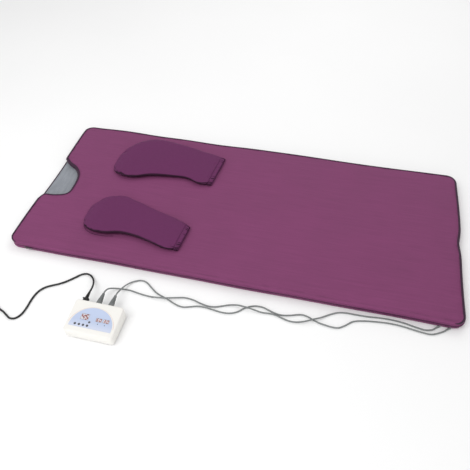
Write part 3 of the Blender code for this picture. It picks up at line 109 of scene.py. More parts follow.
def spline_points(points, parts):
    """Catmull-Rom points through the given ones."""
    points = [Vector(p) for p in points]
    found = []
    for span in range(len(points) - 1):
        b, c = points[span], points[span + 1]
        a = points[span - 1] if span else b * 2 - c
        d = points[span + 2] if span + 2 < len(points) else c * 2 - b
        for part in range(parts):
            t = part / parts
            found.append(0.5 * (2 * b + (c - a) * t + (2 * a - 5 * b + 4 * c - d) * t**2
                                + (3 * b - a - 3 * c + d) * t**3))
    return found + [points[-1]]


def resample(points, spacing, closed=False):
    """The same path with points this far apart."""
    path = np.array([tuple(p) for p in points], float)
    if closed:
        path = np.vstack([path, path[:1]])
    steps = np.linalg.norm(np.diff(path, axis=0), axis=1)
    along = np.concatenate([[0.0], np.cumsum(steps)])
    count = max(2, int(round(along[-1] / spacing)))
    wanted = np.linspace(0.0, along[-1], count + 1)
    found = np.stack([np.interp(wanted, along, path[:, k]) for k in range(path.shape[1])], axis=1)
    return found[:-1] if closed else found


def path_length(points):
    path = np.array([tuple(p) for p in points], float)
    return float(np.linalg.norm(np.diff(path, axis=0), axis=1).sum())


def arc(centre, radius, start, end, parts):
    turns = [start + (end - start) * k / parts for k in range(parts + 1)]
    return [(centre[0] + radius * math.cos(t), centre[1] + radius * math.sin(t)) for t in turns]


def rounded_rectangle(half_x, half_y, radius, parts=10):
    loop = []
    for quarter, (sx, sy) in enumerate(((1, 1), (-1, 1), (-1, -1), (1, -1))):
        loop += arc((sx * (half_x - radius), sy * (half_y - radius)), radius, quarter * math.pi / 2,
                    (quarter + 1) * math.pi / 2, parts)
    return loop


def ellipse(centre, radii, sides=40):
    return [(centre[0] + radii[0] * math.cos(2 * math.pi * k / sides),
             centre[1] + radii[1] * math.sin(2 * math.pi * k / sides)) for k in range(sides)]


def offset_loop(loop, inset):
    """A closed anticlockwise loop moved in by this much."""
    points = np.array([tuple(p)[:2] for p in loop], float)
    into = points - np.roll(points, 1, axis=0)
    out = np.roll(points, -1, axis=0) - points
    into /= np.linalg.norm(into, axis=1, keepdims=True)
    out /= np.linalg.norm(out, axis=1, keepdims=True)
    normal_in = np.stack([-into[:, 1], into[:, 0]], axis=1)
    normal = normal_in + np.stack([-out[:, 1], out[:, 0]], axis=1)
    normal /= np.linalg.norm(normal, axis=1, keepdims=True)
    return points + normal * (inset / np.maximum(0.5, (normal * normal_in).sum(axis=1)))[:, None]


def linked(name, data):
    """A new object in the scene."""
    piece = bpy.data.objects.new(name, data)
    bpy.context.scene.collection.objects.link(piece)
    return piece


def mesh_object(name, verts, faces, material, smooth=True):
    mesh = bpy.data.meshes.new(name)
    mesh.from_pydata([tuple(v) for v in verts], [], [tuple(f) for f in faces])
    made = bmesh.new()
    made.from_mesh(mesh)
    bmesh.ops.recalc_face_normals(made, faces=made.faces[:])
    made.to_mesh(mesh)
    made.free()
    if smooth:
        mesh.shade_smooth()
    mesh.materials.append(material)
    return linked(name, mesh)


def grid(rows, width, first=0, ring=True):
    """The faces between rows of points, each row closed into a ring or left open."""
    faces = []
    for row in range(rows - 1):
        for k in range(width if ring else width - 1):
            a, b = first + row * width + k, first + row * width + (k + 1) % width
            faces.append((a, b, b + width, a + width))
    return faces


def settle(piece, body, slot, *nodes):
    """The piece rides a body and stands for these nodes, which it hides. The slot is not used."""
    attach(piece, body)
    if nodes:
        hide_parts(*nodes)
    return piece


def crease(piece, angle=35.0):
    piece.data.set_sharp_from_angle(angle=math.radians(angle))
    return piece


def apply_modifiers(piece):
    graph = bpy.context.evaluated_depsgraph_get()
    graph.update()
    mesh = bpy.data.meshes.new_from_object(piece.evaluated_get(graph))
    piece.modifiers.clear()
    piece.data = mesh
    return piece


def thicken(piece, thickness):
    """Ask for a wall on the inner side of an open surface. It is there once the modifiers are applied."""
    wall = piece.modifiers.new("wall", "SOLIDIFY")
    wall.thickness = thickness
    wall.offset = -1.0
    return piece


def tube(name, path, radius, material, sides=12):
    """A round bar along a path, as one curve."""
    curve = bpy.data.curves.new(name, "CURVE")
    curve.dimensions = "3D"
    curve.bevel_depth = radius
    curve.bevel_resolution = max(0, sides // 4 * 2 - 2)
    curve.use_fill_caps = True
    spline = curve.splines.new("POLY")
    spline.points.add(len(path) - 1)
    for point, place in zip(spline.points, path):
        point.co = (*place, 1.0)
    spline.use_smooth = True
    curve.materials.append(material)
    return linked(name, curve)


def turned(name, profile, material, steps=40, sharp=35.0):
    """A solid of revolution about Z, from (radius, height) points, both ends on the axis."""
    verts, rings = [], []
    for radius, height in profile:
        if radius < 1e-7:
            rings.append([len(verts)])
            verts.append((0.0, 0.0, height))
            continue
        rings.append(list(range(len(verts), len(verts) + steps)))
        verts += [(x, y, height) for x, y in ellipse((0.0, 0.0), (radius, radius), steps)]
    faces = []
    for a, b in zip(rings, rings[1:]):
        for k in range(steps):
            n = (k + 1) % steps
            if len(a) == 1 and len(b) == 1:
                continue
            if len(a) == 1:
                faces.append((a[0], b[k], b[n]))
            elif len(b) == 1:
                faces.append((a[k], b[0], a[n]))
            else:
                faces.append((a[k], b[k], b[n], a[n]))
    return crease(mesh_object(name, verts, faces, material), sharp)


def rounded_box(name, size, centre, bevel, material, segments=3):
    made = bmesh.new()
    bmesh.ops.create_cube(made, size=1.0, matrix=Matrix.Translation(centre) @ Matrix.Diagonal((*size, 1.0)))
    if bevel > 0:
        bmesh.ops.bevel(made, geom=made.edges[:], offset=bevel, segments=segments, affect="EDGES", profile=0.5)
    mesh = bpy.data.meshes.new(name)
    made.to_mesh(mesh)
    made.free()
    mesh.shade_smooth()
    mesh.materials.append(material)
    return crease(linked(name, mesh), 40.0)


def join(name, pieces):
    """One object from several mesh objects, keeping their places."""
    made = bmesh.new()
    materials = []
    for piece in pieces:
        bpy.context.view_layer.update()
        mesh = piece.data.copy()
        mesh.transform(piece.matrix_world)
        slots = []
        for material in piece.data.materials:
            if material not in materials:
                materials.append(material)
            slots.append(materials.index(material))
        for polygon in mesh.polygons:
            polygon.material_index = slots[polygon.material_index]
        made.from_mesh(mesh)
        bpy.data.objects.remove(piece, do_unlink=True)
    mesh = bpy.data.meshes.new(name)
    made.to_mesh(mesh)
    made.free()
    for material in materials:
        mesh.materials.append(material)
    return linked(name, mesh)


# ---- Materials ----
class Nodes:
    """A Principled material and short ways to add nodes to it."""

    def __init__(self, name, roughness=0.5, metallic=0.0, **sockets):
        self.material = bpy.data.materials.new(name)
        self.material.use_nodes = True
        self.tree = self.material.node_tree
        self.shader = self.tree.nodes["Principled BSDF"]
        self.shader.inputs["Roughness"].default_value = roughness
        self.shader.inputs["Metallic"].default_value = metallic
        for socket, value in sockets.items():
            self.shader.inputs[socket.replace("_", " ")].default_value = value
        self.coordinates = self.tree.nodes.new("ShaderNodeTexCoord").outputs["Object"]

    def link(self, output, target):
        self.tree.links.new(output, target)

    def mapped(self, scale):
        node = self.tree.nodes.new("ShaderNodeMapping")
        node.inputs["Scale"].default_value = scale
        self.link(self.coordinates, node.inputs["Vector"])
        return node.outputs["Vector"]

    def noise(self, scale, detail=3.0, stretch=(1.0, 1.0, 1.0), roughness=0.5):
        node = self.tree.nodes.new("ShaderNodeTexNoise")
        node.inputs["Scale"].default_value = scale
        node.inputs["Detail"].default_value = detail
        node.inputs["Roughness"].default_value = roughness
        self.link(self.mapped(stretch), node.inputs["Vector"])
        return node.outputs["Fac"]

    def wave(self, scale, axis, distortion=0.0, detail_scale=1.0):
        node = self.tree.nodes.new("ShaderNodeTexWave")
        node.wave_type = "BANDS"
        node.bands_direction = axis
        node.inputs["Scale"].default_value = scale
        node.inputs["Distortion"].default_value = distortion
        node.inputs["Detail Scale"].default_value = detail_scale
        self.link(self.coordinates, node.inputs["Vector"])
        return node.outputs["Fac"]

    def ramp(self, factor, stops):
        node = self.tree.nodes.new("ShaderNodeValToRGB")
        elements = node.color_ramp.elements
        while len(elements) < len(stops):
            elements.new(0.5)
        for element, (position, colour) in zip(elements, stops):
            element.position = position
            element.color = colour
        self.link(factor, node.inputs["Fac"])
        return node.outputs["Color"]

    def math(self, operation, first, second):
        node = self.tree.nodes.new("ShaderNodeMath")
        node.operation = operation
        for socket, value in zip(node.inputs, (first, second)):
            if isinstance(value, (int, float)):
                socket.default_value = value
            else:
                self.link(value, socket)
        return node.outputs["Value"]

    def mix(self, factor, first, second):
        node = self.tree.nodes.new("ShaderNodeMix")
        node.data_type = "RGBA"
        colours = ((node.inputs["Factor"], factor), (node.inputs[6], first), (node.inputs[7], second))
        for socket, value in colours:
            if isinstance(value, (int, float, list, tuple)):
                socket.default_value = value
            else:
                self.link(value, socket)
        return node.outputs[2]

    def colour(self, output):
        self.link(output, self.shader.inputs["Base Color"])

    def rough(self, factor, low, high):
        node = self.tree.nodes.new("ShaderNodeMapRange")
        node.inputs["To Min"].default_value = low
        node.inputs["To Max"].default_value = high
        self.link(factor, node.inputs["Value"])
        self.link(node.outputs["Result"], self.shader.inputs["Roughness"])

    def bump(self, height, strength, distance=0.001):
        node = self.tree.nodes.new("ShaderNodeBump")
        node.inputs["Strength"].default_value = strength
        node.inputs["Distance"].default_value = distance
        self.link(height, node.inputs["Height"])
        self.link(node.outputs["Normal"], self.shader.inputs["Normal"])


def shade(colour, factor):
    return [min(1.0, c * factor) for c in colour[:3]] + [1.0]


def cloth_material(name, colour, spread=0.16, threads=260.0, sheen=0.05, roughness=0.72,
                   streak=(0.02, 1.0, 1.0), streak_scale=320.0, strength=0.35, gloss=0.22, near_side_painted_shade=None):
    """Woven fabric: a fine cross weave, streaks along the weave, and slow unevenness of dye."""
    n = Nodes(name, roughness, Sheen_Weight=sheen, Sheen_Roughness=0.4, Specular_IOR_Level=gloss)
    streaks = n.noise(streak_scale, 4.0, streak, 0.6)
    patches = n.noise(5.5, 3.0)
    warp = n.wave(threads, "Y", 0.6, 4.0)
    weft = n.wave(threads, "X", 0.6, 4.0)
    threads_height = n.math("ADD", n.math("MULTIPLY", warp, 0.5), n.math("MULTIPLY", weft, 0.5))
    darker, lighter = shade(colour, 1 - spread), shade(colour, 1 + spread)
    first = n.ramp(streaks, [(0.30, darker), (0.52, colour), (0.74, lighter)])
    second = n.ramp(patches, [(0.3, shade(colour, 1 - spread * 0.6)), (0.7, shade(colour, 1 + spread * 0.5))])
    mixed = n.mix(0.42, first, second)
    woven = n.mix(n.math("MULTIPLY", threads_height, 0.16), mixed, shade(colour, 0.55))
    if near_side_painted_shade:  # painted shade: the colour darkens where the surface faces the near side, standing for the shadow along a sleeve's near side
        facing = n.tree.nodes.new("ShaderNodeTexCoord")
        separate = n.tree.nodes.new("ShaderNodeSeparateXYZ")
        n.link(facing.outputs["Normal"], separate.inputs["Vector"])
        level = n.tree.nodes.new("ShaderNodeMapRange")
        level.interpolation_type = "SMOOTHSTEP"
        level.inputs["From Min"].default_value, level.inputs["From Max"].default_value = near_side_painted_shade
        n.link(separate.outputs["Y"], level.inputs["Value"])
        woven = n.mix(level.outputs["Result"], shade(colour, 0.20), woven)
    n.colour(woven)
    n.rough(patches, roughness - 0.08, roughness + 0.1)
    height = n.math("ADD", n.math("MULTIPLY", threads_height, 0.6), n.math("MULTIPLY", streaks, 0.9))
    n.bump(height, strength, 0.0006)
    return n.material


def plastic_material(name, colour, roughness=0.4, grain=900.0, strength=0.08, coat=0.0, spread=0.04):
    """Moulded plastic: a very fine spark-eroded grain and slight unevenness of gloss."""
    n = Nodes(name, roughness, Coat_Weight=coat, Coat_Roughness=0.25)
    fine = n.noise(grain, 2.0)
    slow = n.noise(14.0, 3.0)
    n.colour(n.ramp(slow, [(0.3, shade(colour, 1 - spread)), (0.7, shade(colour, 1 + spread))]))
    n.rough(slow, roughness - 0.06, roughness + 0.08)
    n.bump(fine, strength, 0.0004)
    return n.material


def metal_material(name, colour, roughness=0.35):
    n = Nodes(name, roughness, 1.0)
    brushed = n.noise(240.0, 4.0, (1.0, 1.0, 30.0), 0.6)
    n.colour(n.ramp(brushed, [(0.3, shade(colour, 0.82)), (0.7, shade(colour, 1.15))]))
    n.rough(brushed, roughness - 0.1, roughness + 0.15)
    n.bump(brushed, 0.12, 0.0003)
    return n.material


def felt_material(name, colour):
    n = Nodes(name, 0.95, Sheen_Weight=0.2)
    fibres = n.noise(420.0, 6.0, (1.0, 1.0, 0.3), 0.7)
    n.colour(n.ramp(fibres, [(0.3, shade(colour, 0.8)), (0.7, shade(colour, 1.1))]))
    n.bump(fibres, 0.5, 0.001)
    return n.material


def board_material(name, colour):
    n = Nodes(name, 0.5, Coat_Weight=0.3)
    tracks = n.wave(120.0, "X", 6.0, 2.0)
    n.colour(n.ramp(tracks, [(0.44, shade(colour, 0.7)), (0.52, shade(colour, 1.5))]))
    n.bump(tracks, 0.1, 0.0002)
    return n.material


def panel_material(name, colour, edge):
    """A printed film that fades towards its straight front edge."""
    n = Nodes(name, 0.34, Coat_Weight=0.3, Coat_Roughness=0.2)
    separate = n.tree.nodes.new("ShaderNodeSeparateXYZ")
    n.link(n.coordinates, separate.inputs["Vector"])
    along = n.math("MULTIPLY", n.math("ADD", separate.outputs["Y"], 0.705), 14.0)
    speckle = n.noise(700.0, 2.0)
    faded = n.ramp(along, [(0.0, edge), (0.35, colour), (1.0, shade(colour, 1.05))])
    n.colour(n.mix(n.math("MULTIPLY", speckle, 0.10), faded, shade(colour, 0.85)))
    n.bump(speckle, 0.04, 0.0002)
    return n.material


EVEN = (1.0, 1.0, 1.0)  # streaks as long as they are wide
PLUM = srgb(128, 64, 106)
SLEEVE_PLUM = srgb(103, 47, 90)
TRIM = srgb(58, 30, 54)
plum = cloth_material("plum_weave", PLUM)
# sleeve_satin: the last pair of numbers sets where painted shade darkens the surfaces that face the near side
sleeve_plum = cloth_material("sleeve_satin", SLEEVE_PLUM, 0.10, 340.0, 0.02, 0.62, (0.3, 1.0, 1.0), 210.0,
                             0.22, 0.12, (-0.42, -0.18))
trim = cloth_material("edge_tape", TRIM, 0.20, 700.0, 0.05, 0.5, EVEN, 500.0, 0.5)
lining = cloth_material("grey_lining", srgb(143, 147, 154), 0.24, 420.0, 0.1, 0.7, (1.0, 0.25, 1.0), 60.0, 0.4)
thread = cloth_material("sewing_thread", srgb(96, 54, 84), 0.25, 1500.0, 0.2, 0.55, EVEN, 900.0, 0.5)
grey_thread = cloth_material("lining_thread", srgb(100, 104, 110), 0.2, 1500.0, 0.1, 0.6, EVEN, 900.0, 0.5)
# zip tape: its own plum, set a little lighter than the cover's as painted light that lifts the shaded near side
# wall
tape_cloth = cloth_material("zip_tape_weave", srgb(134, 68, 112), 0.14, 700.0, 0.03, 0.7, EVEN, 500.0, 0.4)
coil_plastic = plastic_material("zip_teeth", srgb(120, 64, 102), 0.35, 1400.0, 0.15, 0.2, 0.15)
dark_metal = metal_material("zip_metal", srgb(120, 112, 116), 0.3)
grey_rubber = plastic_material("cable_grey", srgb(122, 125, 125), 0.5, 1300.0, 0.2, 0.0, 0.07)
black_rubber = plastic_material("cord_black", srgb(18, 18, 19), 0.5, 1300.0, 0.2, 0.0, 0.2)
white_case = plastic_material("case_white", srgb(238, 236, 231), 0.36, 1100.0, 0.10, 0.15, 0.012)
panel_blue = panel_material("panel_film", srgb(186, 199, 226), srgb(206, 213, 232))
arc_print = plastic_material("panel_arc_print", srgb(232, 204, 196), 0.4, 800.0, 0.05, 0.1, 0.05)
window = plastic_material("display_window", srgb(214, 212, 220), 0.18, 600.0, 0.02, 0.5, 0.06)
digit_glow = plastic_material("display_segments", srgb(146, 52, 20), 0.35, 900.0, 0.03, 0.1, 0.25)
window_rim = plastic_material("display_frame", srgb(150, 140, 146), 0.45, 900.0, 0.08)
button_dark = plastic_material("button_dark", srgb(66, 72, 78), 0.45, 900.0, 0.15, 0.1, 0.1)
led_lens = plastic_material("led_lens", srgb(42, 84, 60), 0.2, 500.0, 0.02, 0.6, 0.2)
foot_rubber = plastic_material("foot_rubber", srgb(60, 60, 62), 0.85, 700.0, 0.4, 0.0, 0.1)
tie_cloth = cloth_material("hook_and_loop", srgb(46, 46, 48), 0.25, 900.0, 0.3, 0.85, EVEN, 900.0, 0.7)
steel = metal_material("core_steel", srgb(150, 148, 146), 0.45)
aluminium = metal_material("sink_aluminium", srgb(205, 207, 210), 0.38)
brass = metal_material("pin_brass", srgb(205, 178, 122), 0.28)
felt = felt_material("insulation_felt", srgb(205, 202, 194))
carbon = cloth_material("carbon_ribbon", srgb(50, 50, 53), 0.3, 600.0, 0.1, 0.6, EVEN, 500.0, 0.5)
green_board = board_material("board_green", srgb(34, 104, 66))
ceramic = plastic_material("sensor_ceramic", srgb(214, 211, 202), 0.6, 900.0, 0.1, 0.0, 0.08)

NODE_LOOKS = [
    (felt, "base_insulation", "cover_insulation"),
    (carbon, "base_heater_element", "cover_heater_element"),
    (ceramic, "base_temperature_sensor", "cover_temperature_sensor", "base_thermal_cutout"),
    (grey_rubber, "cable_gland_left", "cable_gland_right"),
    (green_board, "display_board", "main_board"),
    (steel, "transformer"),
    (aluminium, "heat_sink"),
    (white_case, "heater_socket_left", "heater_socket_right"),
    (black_rubber, "mains_inlet"),
    (foot_rubber, "foot_strip_front", "foot_strip_rear"),
    (dark_metal, "zip_slider", "zip_pull_tab"),
    (tie_cloth, "mains_cord_tie"),
    (window, "display_main", "display_left", "display_right"),
    (led_lens, "indicator_led_left", "indicator_led_right"),
]
for look, *node_names in NODE_LOOKS:
    for node_name in node_names:
        node_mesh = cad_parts[node_name].data
        node_mesh.materials.clear()
        node_mesh.materials.append(look)


# ---- Camera ----
def build_camera():
    azimuth, elevation, roll = math.radians(14.95), math.radians(48.93), math.radians(-1.79)
    back = Vector((math.sin(azimuth) * math.cos(elevation), -math.cos(azimuth) * math.cos(elevation),
                   math.sin(elevation)))
    right = Vector((math.cos(azimuth), math.sin(azimuth), 0.0))
    up = back.cross(right)
    turned_right = right * math.cos(roll) + up * math.sin(roll)
    turned_up = up * math.cos(roll) - right * math.sin(roll)
    data = bpy.data.cameras.new("photo_camera")
    data.lens = 38.24
    data.sensor_width = 36.0
    data.clip_end = 50.0
    camera = linked("photo_camera", data)
    turn = Matrix((turned_right, turned_up, back)).transposed().to_4x4()
    camera.matrix_world = Matrix.Translation((0.3516, -1.4534, 1.5677)) @ turn
    bpy.context.scene.camera = camera


build_camera()

# ---- Cords ----
HEATER_ROUTES = {
    "left": [(-0.402, -0.538, 0.0335), (-0.3995, -0.520, 0.0240), (-0.390, -0.507, 0.0125),
             (-0.372, -0.499, 0.0055), (-0.349, -0.4955, 0.0030), (-0.323, -0.495), (-0.298, -0.499),
             (-0.268, -0.503), (-0.236, -0.505, 0.0035), (-0.206, -0.504, 0.0068), (-0.175, -0.5005, 0.0095),
             (-0.143, -0.490, 0.0062), (-0.111, -0.481, 0.0032), (-0.079, -0.483), (-0.053, -0.490),
             (-0.031, -0.495), (-0.010, -0.497), (0.012, -0.494), (0.033, -0.486), (0.058, -0.476, 0.0034),
             (0.088, -0.471, 0.0064), (0.121, -0.474, 0.0095), (0.154, -0.477, 0.0062), (0.183, -0.480, 0.0032),
             (0.214, -0.478), (0.236, -0.480), (0.260, -0.487), (0.284, -0.493), (0.308, -0.493, 0.0030),
             (0.330, -0.488, 0.0046), (0.352, -0.480, 0.0076), (0.372, -0.470, 0.0096), (0.392, -0.459, 0.0076),
             (0.411, -0.445, 0.0046), (0.431, -0.431, 0.0030), (0.455, -0.419), (0.484, -0.4140),
             (0.518, -0.4135), (0.557, -0.4125), (0.597, -0.4085), (0.637, -0.4065), (0.674, -0.4085),
             (0.705, -0.4135), (0.735, -0.4195), (0.762, -0.4225, 0.0030)],
    "right": [(-0.3545, -0.538, 0.0335), (-0.3525, -0.518, 0.0265), (-0.3495, -0.498, 0.0185),
              (-0.343, -0.477, 0.0105), (-0.329, -0.457, 0.0048), (-0.305, -0.443), (-0.284, -0.443),
              (-0.266, -0.452), (-0.249, -0.465), (-0.219, -0.485), (-0.175, -0.5005), (-0.146, -0.513),
              (-0.121, -0.5205), (-0.101, -0.521), (-0.078, -0.514), (-0.052, -0.506), (-0.024, -0.505),
              (0.004, -0.508), (0.039, -0.512), (0.071, -0.509), (0.097, -0.496), (0.121, -0.474),
              (0.150, -0.459), (0.181, -0.457), (0.208, -0.465), (0.231, -0.472), (0.256, -0.475),
              (0.287, -0.469), (0.310, -0.461), (0.331, -0.457), (0.352, -0.461), (0.372, -0.470),
              (0.392, -0.477), (0.414, -0.481), (0.438, -0.484), (0.462, -0.482), (0.485, -0.467),
              (0.512, -0.444), (0.551, -0.433), (0.592, -0.427), (0.638, -0.4235), (0.678, -0.425),
              (0.715, -0.430), (0.752, -0.435), (0.785, -0.4350, 0.0030)],
}
MAINS_ROUTE = [(-0.4575, -0.536, 0.0310), (-0.463, -0.517, 0.0225), (-0.4725, -0.495, 0.0135),
               (-0.487, -0.475, 0.0075), (-0.504, -0.4625, 0.0045), (-0.522, -0.4595), (-0.541, -0.469),
               (-0.560, -0.489), (-0.580, -0.509), (-0.602, -0.526), (-0.625, -0.539), (-0.646, -0.552),
               (-0.662, -0.570), (-0.671, -0.594), (-0.674, -0.624), (-0.674, -0.655), (-0.678, -0.683),
               (-0.691, -0.704), (-0.712, -0.7095), (-0.732, -0.700), (-0.752, -0.689), (-0.773, -0.681)]
COIL = (-0.8360, -0.6990)
COIL_ENTRY = math.radians(71)
COIL_OUTER = 0.042
COIL_PITCH = 0.0070  # from one turn to the next, across and up
COIL_LOW = 0.0051
TAIL, TAIL_HEIGHT = 0.046, 0.0070
STRAIGHT = Vector((0.0, 0.003, 0.0))  # how a cord leaves its plug
GAP = 0.0003  # between pieces that are pushed together
HEATER_FACE = REAR + GAP + 0.0015 + GAP
MAINS_FACE = REAR + GAP + 0.0016 + GAP
CONNECTOR_LENGTH = 0.046
GLAND_X = {"left": 0.812, "right": 0.848}
GLAND_YAW = math.radians(40)
GLAND_OUT = 0.016
PLUG_LENGTH = 0.0505


def with_height(route, radius):
    return [Vector((p[0], p[1], p[2] if len(p) > 2 else radius)) for p in route]


def gland_point(side, out):
    direction = Vector((math.cos(GLAND_YAW), math.sin(GLAND_YAW), 0.0))
    return Vector((GLAND_X[side], -HALF_WIDTH, 0.0042)) - direction * out


def heater_cable(side):
    start = Vector((HEATER_X[side], HEATER_FACE + PLUG_LENGTH + GAP, SOCKET_Z))
    end = gland_point(side, GLAND_OUT + GAP)
    near_end = gland_point(side, GLAND_OUT + 0.020)
    near_end.z = HEATER_R + 0.0008
    points = [start, start + STRAIGHT] + with_height(HEATER_ROUTES[side], HEATER_R)
    points += [near_end, gland_point(side, GLAND_OUT + 0.0033), end]
    path = resample(spline_points(points, 8), 0.0045)
    piece = tube("heater_lead_" + side, path, HEATER_R, grey_rubber, 12)
    settle(piece, "base_mat", "cable_grey", "heater_cable_" + side)
    return piece, start


def coil_path():
    """The unseen length of the mains cord: a coil two turns wide and two high, entered outside and below."""
    path = []
    for turn in range(71, 1261, 8):  # in degrees
        radius = COIL_OUTER - COIL_PITCH * (smoothstep(371, 431, turn) - smoothstep(971, 1031, turn))
        height = COIL_LOW + COIL_PITCH * smoothstep(671, 731, turn)
        angle = math.radians(turn)
        path.append(Vector((COIL[0] + radius * math.cos(angle), COIL[1] + radius * math.sin(angle), height)))
    return path


def mains_cord():
    start = Vector((MAINS_X, MAINS_FACE + CONNECTOR_LENGTH + GAP, SOCKET_Z))
    outward = Vector((math.cos(COIL_ENTRY), math.sin(COIL_ENTRY), 0.0))
    heading = Vector((-outward.y, outward.x, 0.0))
    entry = Vector((*COIL, 0.0)) + outward * COIL_OUTER
    lead_in = [entry - heading * 0.044 + Vector((0, 0, 0.0036)), entry - heading * 0.023 + Vector((0, 0, 0.0044))]
    left = Vector((COIL[0] - COIL_OUTER, COIL[1], COIL_LOW + COIL_PITCH))
    tail = [left + Vector((0.0, -0.012, 0.0)), left + Vector((0.0, -0.026, -0.0018)),
            left + Vector((0.0, -0.037, -0.0044)), Vector((left.x, left.y - TAIL, TAIL_HEIGHT))]
    points = [start, start + STRAIGHT] + with_height(MAINS_ROUTE, MAINS_R) + lead_in + coil_path() + tail
    path = resample(spline_points(points, 6), 0.0048)
    piece = tube("mains_lead", path, MAINS_R, black_rubber, 12)
    settle(piece, "base_mat", "cord_black", "mains_cord", "mains_cord_coil", "mains_cord_tail")
    return piece, start


def ribbed_plug(name, tip_radius, wide, length, ribs, material, nose=None, waist=0.014):
    """A moulded, tapered and ribbed sleeve along +Z from 0 to length, wider at 0."""
    profile = [(0.0, length), (tip_radius * 0.75, length), (tip_radius, length - 0.0006)]
    span = length - waist - 0.003
    for rib in range(ribs):
        share = (rib + 0.5) / ribs
        outer = tip_radius + (wide - tip_radius) * share * 0.92
        level = length - 0.003 - span * rib / ribs
        pitch = span / ribs
        rib_shape = ((-0.0019, 0.0), (0.0, 0.12), (0.0002, 0.46), (-0.0002, 0.56), (-0.0019, 0.70))
        profile += [(outer + out, level - down * pitch) for out, down in rib_shape]
    profile += [(wide - 0.0008, waist), (wide, waist - 0.0012), (wide, 0.0010), (wide - 0.0008, 0.0)]
    if nose:
        profile += [(nose[0], 0.0), (nose[0], -nose[1]), (0.0, -nose[1])]
    else:
        profile.append((0.0, 0.0))
    return turned(name, profile, material, 44, 30.0)


def heater_plug(side):
    name = "heater_connector_" + side
    plug = ribbed_plug(name, 0.0050, 0.0104, PLUG_LENGTH, 5, grey_rubber, (0.0066, 0.006))
    plug.matrix_world = (Matrix.Translation((HEATER_X[side], HEATER_FACE, SOCKET_Z))
                         @ Matrix.Rotation(-math.pi / 2, 4, "X"))
    for level in (-1, 1):  # finger grips pressed into the collar
        places = [(0.0, 0.0035 + 0.0024 * k, level * 0.0102) for k in range(4)]
        size = (0.0075, 0.0008, 0.0008)
        grips = [rounded_box("grip", size, place, 0.0003, grey_rubber, 2) for place in places]
        for grip in grips:
            grip.matrix_world = Matrix.Translation((HEATER_X[side], HEATER_FACE, SOCKET_Z)) @ grip.matrix_world
        plug = join(name, [plug] + grips)
    settle(plug, "base_mat", "cable_grey", "heater_plug_" + side)
    return plug


def mains_connector():
    place = Vector((MAINS_X, MAINS_FACE, SOCKET_Z))
    body = rounded_box("body", (0.0175, 0.0165, 0.0120), (0.0, 0.0083, 0.0), 0.0028, black_rubber, 4)
    collar = rounded_box("collar", (0.0240, 0.0030, 0.0150), (0.0, 0.0017, 0.0), 0.0012, black_rubber, 3)
    wing = rounded_box("wing", (0.0235, 0.0050, 0.0140), (0.0, 0.0140, 0.0), 0.0016, black_rubber, 3)
    nose = rounded_box("nose", (0.0184, 0.0080, 0.0094), (0.0, -0.0020, 0.0), 0.0012, black_rubber, 2)
    relief = ribbed_plug("relief", 0.0042, 0.0068, 0.030, 5, black_rubber, None, 0.003)
    relief.matrix_world = Matrix.Translation((0.0, 0.016, 0.0)) @ Matrix.Rotation(-math.pi / 2, 4, "X")
    grips = [rounded_box("grip", (0.0012, 0.0008, 0.0090), (side * 0.0087, 0.0052 + 0.0018 * k, 0.0), 0.0003,
                         black_rubber, 2) for side in (-1, 1) for k in range(4)]
    piece = join("mains_connector_moulding", [body, collar, wing, nose, relief] + grips)
    piece.matrix_world = Matrix.Translation(place)
    settle(piece, "base_mat", "cord_black", "mains_connector")
    return piece


def mains_plug():
    tip = Vector((COIL[0] - COIL_OUTER, COIL[1] - TAIL - GAP, TAIL_HEIGHT))
    relief = ribbed_plug("relief", 0.0042, 0.0062, 0.030, 5, black_rubber, None, 0.003)
    relief.matrix_world = Matrix.Translation((0.0, -0.030, 0.0)) @ Matrix.Rotation(-math.pi / 2, 4, "X")
    body = rounded_box("body", (0.024, 0.026, 0.014), (0.0, -0.042, 0.0), 0.0042, black_rubber, 5)
    pins = [rounded_box("pin", (0.0015, 0.017, 0.0062), (side * 0.00635, -0.0625, 0.0), 0.0005, brass, 2)
            for side in (-1, 1)]
    grips = [rounded_box("grip", (0.0010, 0.0012, 0.0080), (side * 0.0120, -0.034 - 0.0030 * k, 0.0), 0.0004,
                         black_rubber, 2) for side in (-1, 1) for k in range(5)]
    piece = join("mains_plug_moulding", [relief, body] + pins + grips)
    piece.matrix_world = Matrix.Translation(tip)
    settle(piece, "base_mat", "cord_black", "mains_plug")
    return piece


def build_cords():
    for side in HEATER_X:
        piece, start = heater_cable(side)
        plug = heater_plug(side)
    piece, start = mains_cord()
    mains_connector()
    mains_plug()


build_cords()


# ---- Blanket ----
CLOTH_FRAMES = 20
LINING_INSETS = (0.0015, 0.0060)
COVER_ROUNDING = 0.0068
ZIP_ROWS = 404
ZIP_MARGIN = 0.030  # from a corner's rounding to the zip's end
CHANNEL = 0.070  # from one sewn row of the lining to the next


def edge_drift(points):
    """How far the soft edges wander from their straight lines, at rest: an (x, y) shift for each point."""
    x, y = points[:, 0], points[:, 1]
    near = smoothstep(0.30, 0.40, -y)
    far = smoothstep(0.30, 0.40, y)
    head = smoothstep(0.78, 0.90, -x)
    foot = smoothstep(0.78, 0.90, x)
    slider_zone = 1 - np.exp(-((x + 0.80) / 0.10) ** 2)
    waves = 0.0026 * np.sin(8.2 * x + 0.6) + 0.0020 * np.sin(19.0 * x + 2.0) * smoothstep(0.3, -0.5, x)
    shift_y = far * (waves - 0.0034)  # inwards, to stay clear of the fold's axis
    shift_y -= near * slider_zone * (0.0012 * np.sin(6.5 * x + 1.0) + 0.0006 * np.sin(17.0 * x))
    shift_x = foot * (0.0030 * np.sin(9.0 * y + 0.4) - 0.0075 * np.exp(-((y + 0.010) / 0.045) ** 2))
    shift_x += head * (0.0025 * np.sin(12.0 * y + 1.0))
    return np.stack([shift_x, shift_y], axis=1)


def drifted(points):
    points = np.array([tuple(p) for p in points], float)
    points[:, :2] += edge_drift(points)
    return points


